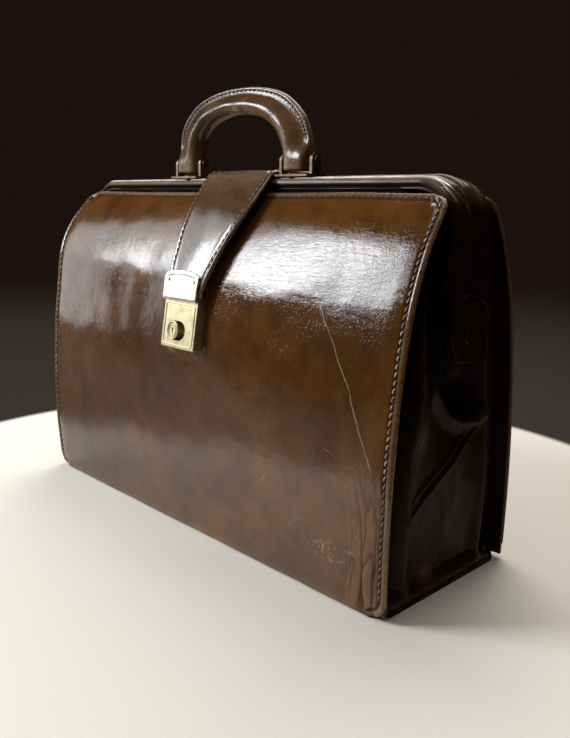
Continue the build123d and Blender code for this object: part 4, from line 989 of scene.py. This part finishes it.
def make_handle():
    """The grip: a rolled leather handle with a flat stitched fin along its outer edge."""
    rows = 120
    around = [0.0, 0.012, 0.04, 0.09, 0.16, 0.24, ROLL, 0.42, 0.5, 0.58, 0.66, 0.74, 0.8, 0.84, 0.87, 0.9, 0.95,
              0.98, 1.0]
    ring = [(share, 1) for share in around] + [(share, -1) for share in reversed(around[1:-1])]
    vertices, wear, dirt = [], [], []
    for r in range(rows):
        t = r / (rows - 1)
        foot = 1 - smooth(286, 300, handle_place(t, 0.5)[1])
        end = 0.25 if r in (0, rows - 1) else 0.75 if r in (1, rows - 2) else 1.0
        for share, front in ring:
            x, z = handle_place(t, share)
            half = (grip_half(share, foot) * (1 - foot) + 8.4 * foot * (1 - abs(2 * share - 1) ** 6)) * end
            half *= 1 + 0.05 * ripple(x * 0.08, z * 0.08, front)
            torn = bump(x, 4, 17) * bump(share, 0.05, 0.16)
            ragged = 1.3 * torn * ripple(x * 0.35, half * 0.4, z * 0.35)
            vertices.append((x, HANDLE_Y - front * half, z + ragged))
            wear.append(max(min(1.0, 1.5 * torn * smooth(-0.35, 0.25, ragged + 0.1)),
                            0.5 * (1 - smooth(284, 300, z)) * bump(share, 0.2, 0.3), 0.3 * smooth(0.94, 1.0, share)))
            # Painted shade in the groove of the fin's seam.
            dirt.append(0.35 * bump(share, FIN_SEAM, 0.03))
    handle = new_object("handle_grip", vertices, bar_faces(rows, len(ring)), handle_leather)
    set_attribute(handle, "wear", wear)
    set_attribute(handle, "dirt", dirt)
    fit(handle, "handle_leather", "handle", "handle_leather")
    stitches = []
    pitch = 0.8 / 52
    for k in range(52):
        for front in (1, -1):
            y = HANDLE_Y - front * (grip_half(FIN_SEAM, 0) + 0.1)
            (ax, az), (bx, bz) = (handle_place(0.1 + (k + step) * pitch, FIN_SEAM) for step in (0, 0.62))
            stitches.append(((ax, y, az), (bx, y, bz), (0, -front, 0)))
    fit(stitch_object("handle_thread", stitches, brown_thread), "handle_leather", "handle")


make_handle()

# ---------------------------------------------------------------- strap
STRAP_OUTER, STRAP_INNER = 9.0, 5.9
STRAP_SLOPE, CREST_DROP = 14.5, 5.0
STRAP_BACK = 20.5
LOCK_NORMAL = JOIN_ANGLE
STRAP_MIDDLE = 7.0           # the offset at which lengths along the strap are measured
STRAP_SEAM = 3.6
shoulder_run = (SHOULDER_RADIUS + STRAP_MIDDLE) * (RIM_ANGLE - JOIN_ANGLE)
crest_run = (CREST_DROP + STRAP_MIDDLE) * (pi / 2 - RIM_ANGLE)
crest_centre = on_arc(on_arc(shoulder_centre, SHOULDER_RADIUS - CREST_DROP, RIM_ANGLE), STRAP_SLOPE,
                      RIM_ANGLE + pi / 2)
STRAP_FOOT = -3.0
STRAP_TOP = 279.0            # height of its flat top, which starts 118 mm up the strap
TOP_FROM = 118.0
# Its two sides: heights, and x at each
STRAP_LEFT = ([180, 196, 219, 241, 259, 270, 279], [-20.5, -19.0, -18.6, -21.5, -25.0, -28.0, -30.0])
STRAP_RIGHT = ([180, 191, 203, 215, 227, 237, 246, 257, 267, 279],
               [20.5, 24.0, 28.5, 33.5, 38.2, 42.2, 45.0, 46.5, 46.5, 44.5])


def strap_at(s, offset):
    """A place on the strap's line: s in millimetres along it from the lock, offset from the wall."""
    over = s - shoulder_run - STRAP_SLOPE
    if s < 0:
        angle = JOIN_ANGLE
        base = on_arc(join_point, s, pi / 2 - angle)
    elif s < shoulder_run:
        angle = JOIN_ANGLE + s / (SHOULDER_RADIUS + STRAP_MIDDLE)
        base = on_arc(shoulder_centre, SHOULDER_RADIUS, angle)
    elif over < 0:
        angle = RIM_ANGLE
        base = on_arc(on_arc(shoulder_centre, SHOULDER_RADIUS, angle), s - shoulder_run, angle + pi / 2)
    elif over < crest_run:
        angle = RIM_ANGLE + over / (CREST_DROP + STRAP_MIDDLE)
        base = on_arc(crest_centre, CREST_DROP, angle)
    else:
        angle = pi / 2
        base = (crest_centre[0] - (over - crest_run), crest_centre[1] + CREST_DROP)
    return -(base[0] + offset * cos(angle)), base[1] + offset * sin(angle)


strap_full = shoulder_run + STRAP_SLOPE + crest_run + crest_centre[0] + STRAP_BACK
strap_lengths = [STRAP_FOOT + s for s in graded(strap_full - STRAP_FOOT, 1.6)]
strap_shares = [p / 40 - 1 for p in graded(80, 1.7, (0.0, 0.3, 0.8, 1.6, 2.6))]


def strap_sides(s):
    """Left and right edge of the strap at a length along it."""
    z = strap_at(s, STRAP_MIDDLE)[1] if s < TOP_FROM else STRAP_TOP
    return np.interp(z, *STRAP_LEFT), np.interp(z, *STRAP_RIGHT)


def on_strap(r, c):
    """Length along the strap, x, the strap's middle there, and the distance to its nearer side."""
    s = strap_lengths[r]
    left, right = strap_sides(s)
    x = (left + right) / 2 + strap_shares[c] * (right - left) / 2
    return s, x, (left + right) / 2, min(x - left, right - x)


def strap_point(r, c, under):
    """A point of the strap's top face, or of its under face."""
    s, x, middle, edge = on_strap(r, c)
    edge = min(edge, s - STRAP_FOOT + 4, strap_full - s)
    if under:
        return (x, *strap_at(s, STRAP_INNER + 0.5 * (1 - smooth(0, 1.6, edge))))
    relief = -0.8 * (1 - smooth(0, 1.5, edge)) ** 2 - 0.4 * bump(edge, STRAP_SEAM, 1.0) + 0.12 * bump(edge, 6.0, 1.4)
    relief += 0.35 * ripple(x * 0.03, s * 0.02, 3.3) + 0.3 * bump(x, middle, 16)
    return (x, *strap_at(s, STRAP_OUTER + relief))


def strap_wear(r, c):
    """Rubbed edges, and a rubbed band where the strap bends over the top."""
    s, _, _, edge = on_strap(r, c)
    return max(0.45 * (1 - smooth(0.2, 1.8, edge)), 0.25 * bump(s, 96, 12) * smooth(0, 10, edge))


def finish_strap(piece, *nodes):
    """A piece of the strap: its place is baked into its mesh, and the CAD nodes it stands for are hidden."""
    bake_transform(piece)
    if nodes:
        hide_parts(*nodes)


def strap_lining_point(r, c, offset):
    """A point of the thin leather under the strap."""
    s, x, _, _ = on_strap(r, c)
    return (x * 0.985, *strap_at(s, offset))


def strap_thread():
    """Stitches along both edges of the strap."""
    stitches = []
    s = STRAP_FOOT + 22
    while s < strap_full - 4:
        above, below = (Vector((0, *strap_at(s + 1.7, STRAP_OUTER + lift))) for lift in (1, 0))
        for side, inset in ((0, STRAP_SEAM), (1, -STRAP_SEAM)):
            ends = [(strap_sides(along)[side] + inset, *strap_at(along, STRAP_OUTER - 0.3)) for along in (s, s + 3.4)]
            stitches.append((*ends, above - below))
        s += STITCH_PITCH
    return stitches


grid_size = len(strap_lengths), len(strap_shares)
# Painted shade in the groove of each edge seam.
strap_marks = {"wear": strap_wear, "dirt": lambda r, c: 0.3 * bump(on_strap(r, c)[3], STRAP_SEAM, 0.8)}
finish_strap(sheet_object("strap_leather", *grid_size, strap_point, (False, True), strap_leather, strap_marks),
             "strap")
finish_strap(sheet_object("strap_back_leather", *grid_size, strap_lining_point,
                          (STRAP_INNER - 0.1, STRAP_INNER - 1.0), gusset_leather), "strap_lining")
finish_strap(stitch_object("strap_thread", strap_thread(), thread))


# ---------------------------------------------------------------- lock details
def on_lock(u, v, n):
    """A place on the lock: u across, v up the wall, n out of it."""
    normal = Vector((0, -cos(LOCK_NORMAL), sin(LOCK_NORMAL)))
    up = Vector((0, sin(LOCK_NORMAL), cos(LOCK_NORMAL)))
    return tuple(Vector((u, -join_point[0], join_point[1])) + float(v) * up + float(n) * normal)


def lock_loop(name, outline, radius, body, n):
    """A raised wire-like brass border that follows a closed outline on the lock's face."""
    vertices = []
    sides = 8
    for k, (u, v) in enumerate(outline):
        before, after = outline[k - 1], outline[(k + 1) % len(outline)]
        along = Vector((after[0] - before[0], after[1] - before[1])).normalized()
        for s in range(sides):
            across, out = on_arc((0, 0), radius, 2 * pi * s / sides)
            vertices.append(on_lock(u + across * along.y, v - across * along.x, n + out))
    faces = ring_faces(len(outline), sides, close_rows=True, close_columns=True, flip=True)
    fit(new_object(name, vertices, faces, brass), "brass", body)


def rounded_outline(low, high, radius, steps=7):
    """A rounded rectangle between two corners, as points."""
    (left, bottom), (right, top) = [c + radius for c in low], [c - radius for c in high]
    corners = ((right, top), (left, top), (left, bottom), (right, bottom))
    return [on_arc(corner, radius, radians(90 * quarter + 90 * k / (steps - 1)))
            for quarter, corner in enumerate(corners) for k in range(steps)]


HASP_BACK, HASP_THICKNESS = 9.4, 1.3
HASP_HALF, HASP_BOTTOM, HASP_SIDE_TOP, HASP_TOP = 21.0, -7.0, 10.0, 16.0


def make_hasp():
    """The hasp's plate: a domed top, pressed to follow the strap, crowned and rounded at its edges."""
    rows = [place / (HASP_TOP - HASP_BOTTOM)
            for place in graded(HASP_TOP - HASP_BOTTOM, 1.0, (0.0, 0.25, 0.6, 1.1, 1.7))]
    columns = [place - 1 for place in graded(2, 0.05, (0.0, 0.012, 0.03, 0.055, 0.085))]

    def point(r, c, lift):
        share = columns[c]
        top = HASP_SIDE_TOP + (HASP_TOP - HASP_SIDE_TOP) * chord(1, share * 0.92) - 0.6 * share ** 8
        u, v = share * HASP_HALF, HASP_BOTTOM + rows[r] * (top - HASP_BOTTOM)
        edge = min(HASP_HALF - abs(u), v - HASP_BOTTOM, top - v)
        curve = -max(v, 0) ** 2 / (2 * (SHOULDER_RADIUS + HASP_BACK)) - 0.00055 * u * u
        outside = lift > 0
        lift += 0.35 * bump(edge, 2.2, 0.8)
        if outside:
            lift -= 0.3 * smooth(2.6, 4.5, edge) + 0.55 * (1 - smooth(0, 0.9, edge)) ** 2
        return on_lock(u, v, HASP_BACK + lift + curve)

    plate = sheet_object("hasp_leaf", len(rows), len(columns), point, (HASP_THICKNESS, 0.0), hasp_metal)
    fit(plate, "brass", "strap", "hasp_plate")


make_hasp()
CASE_FRONT, BOSS_FRONT = 7.5, 9.0
BOSS = (-5, -30)
lock_loop("case_border", rounded_outline((-17.8, -41.0), (17.8, -9.5), 2.5), 0.45, "front_side", CASE_FRONT)
for ring_name, ring_radius, thickness, height in (("boss_ring_outer", 6.4, 0.55, BOSS_FRONT),
                                                  ("boss_ring_inner", 4.4, 0.4, BOSS_FRONT + 0.05)):
    lock_loop(ring_name, [on_arc(BOSS, ring_radius, 2 * pi * k / 40) for k in range(40)], thickness, "lock_slide",
              height)

# ---------------------------------------------------------------- materials of the kept CAD nodes
# each node with the width of its softened edges in millimetres
KEPT = [
    (gusset_leather, {"bottom_panel": 0.8, "frame_rivets": 0.4}),
    (board_paper, {"bottom_board": 0}),
    (lining_cloth, {"bottom_lining": 0}),
    (steel, {"front_jaw_steel": 0, "back_jaw_steel": 0, "frame_washers": 0, "lock_spring": 0}),
    (bracket_metal, {"handle_bracket_left": 0.35, "handle_bracket_right": 0.35, "bracket_rivets": 0.25,
                     "handle_pins": 0.4, "handle_tubes": 0}),
    (rope, {"handle_core": 0}),
    (brass, {"lock_back_plate": 0.3, "lock_case": 0.5, "lock_rivets": 0.3, "lock_button": 0.25, "latch_bolt": 0,
             "key_cylinder": 0, "strap_rivets": 0.3, "hasp_staple": 0, "hasp_rivets": 0.2}),
]
for node_material, nodes in KEPT:
    for node_name, edge_width in nodes.items():
        node_object = bpy.data.objects[node_name]
        node_object.data.materials.clear()
        node_object.data.materials.append(node_material)
        if edge_width:
            bevel = node_object.modifiers.new("edges", "BEVEL")
            bevel.width = edge_width * MM
            bevel.segments = 3
            bevel.limit_method = "ANGLE"
            bevel.harden_normals = True
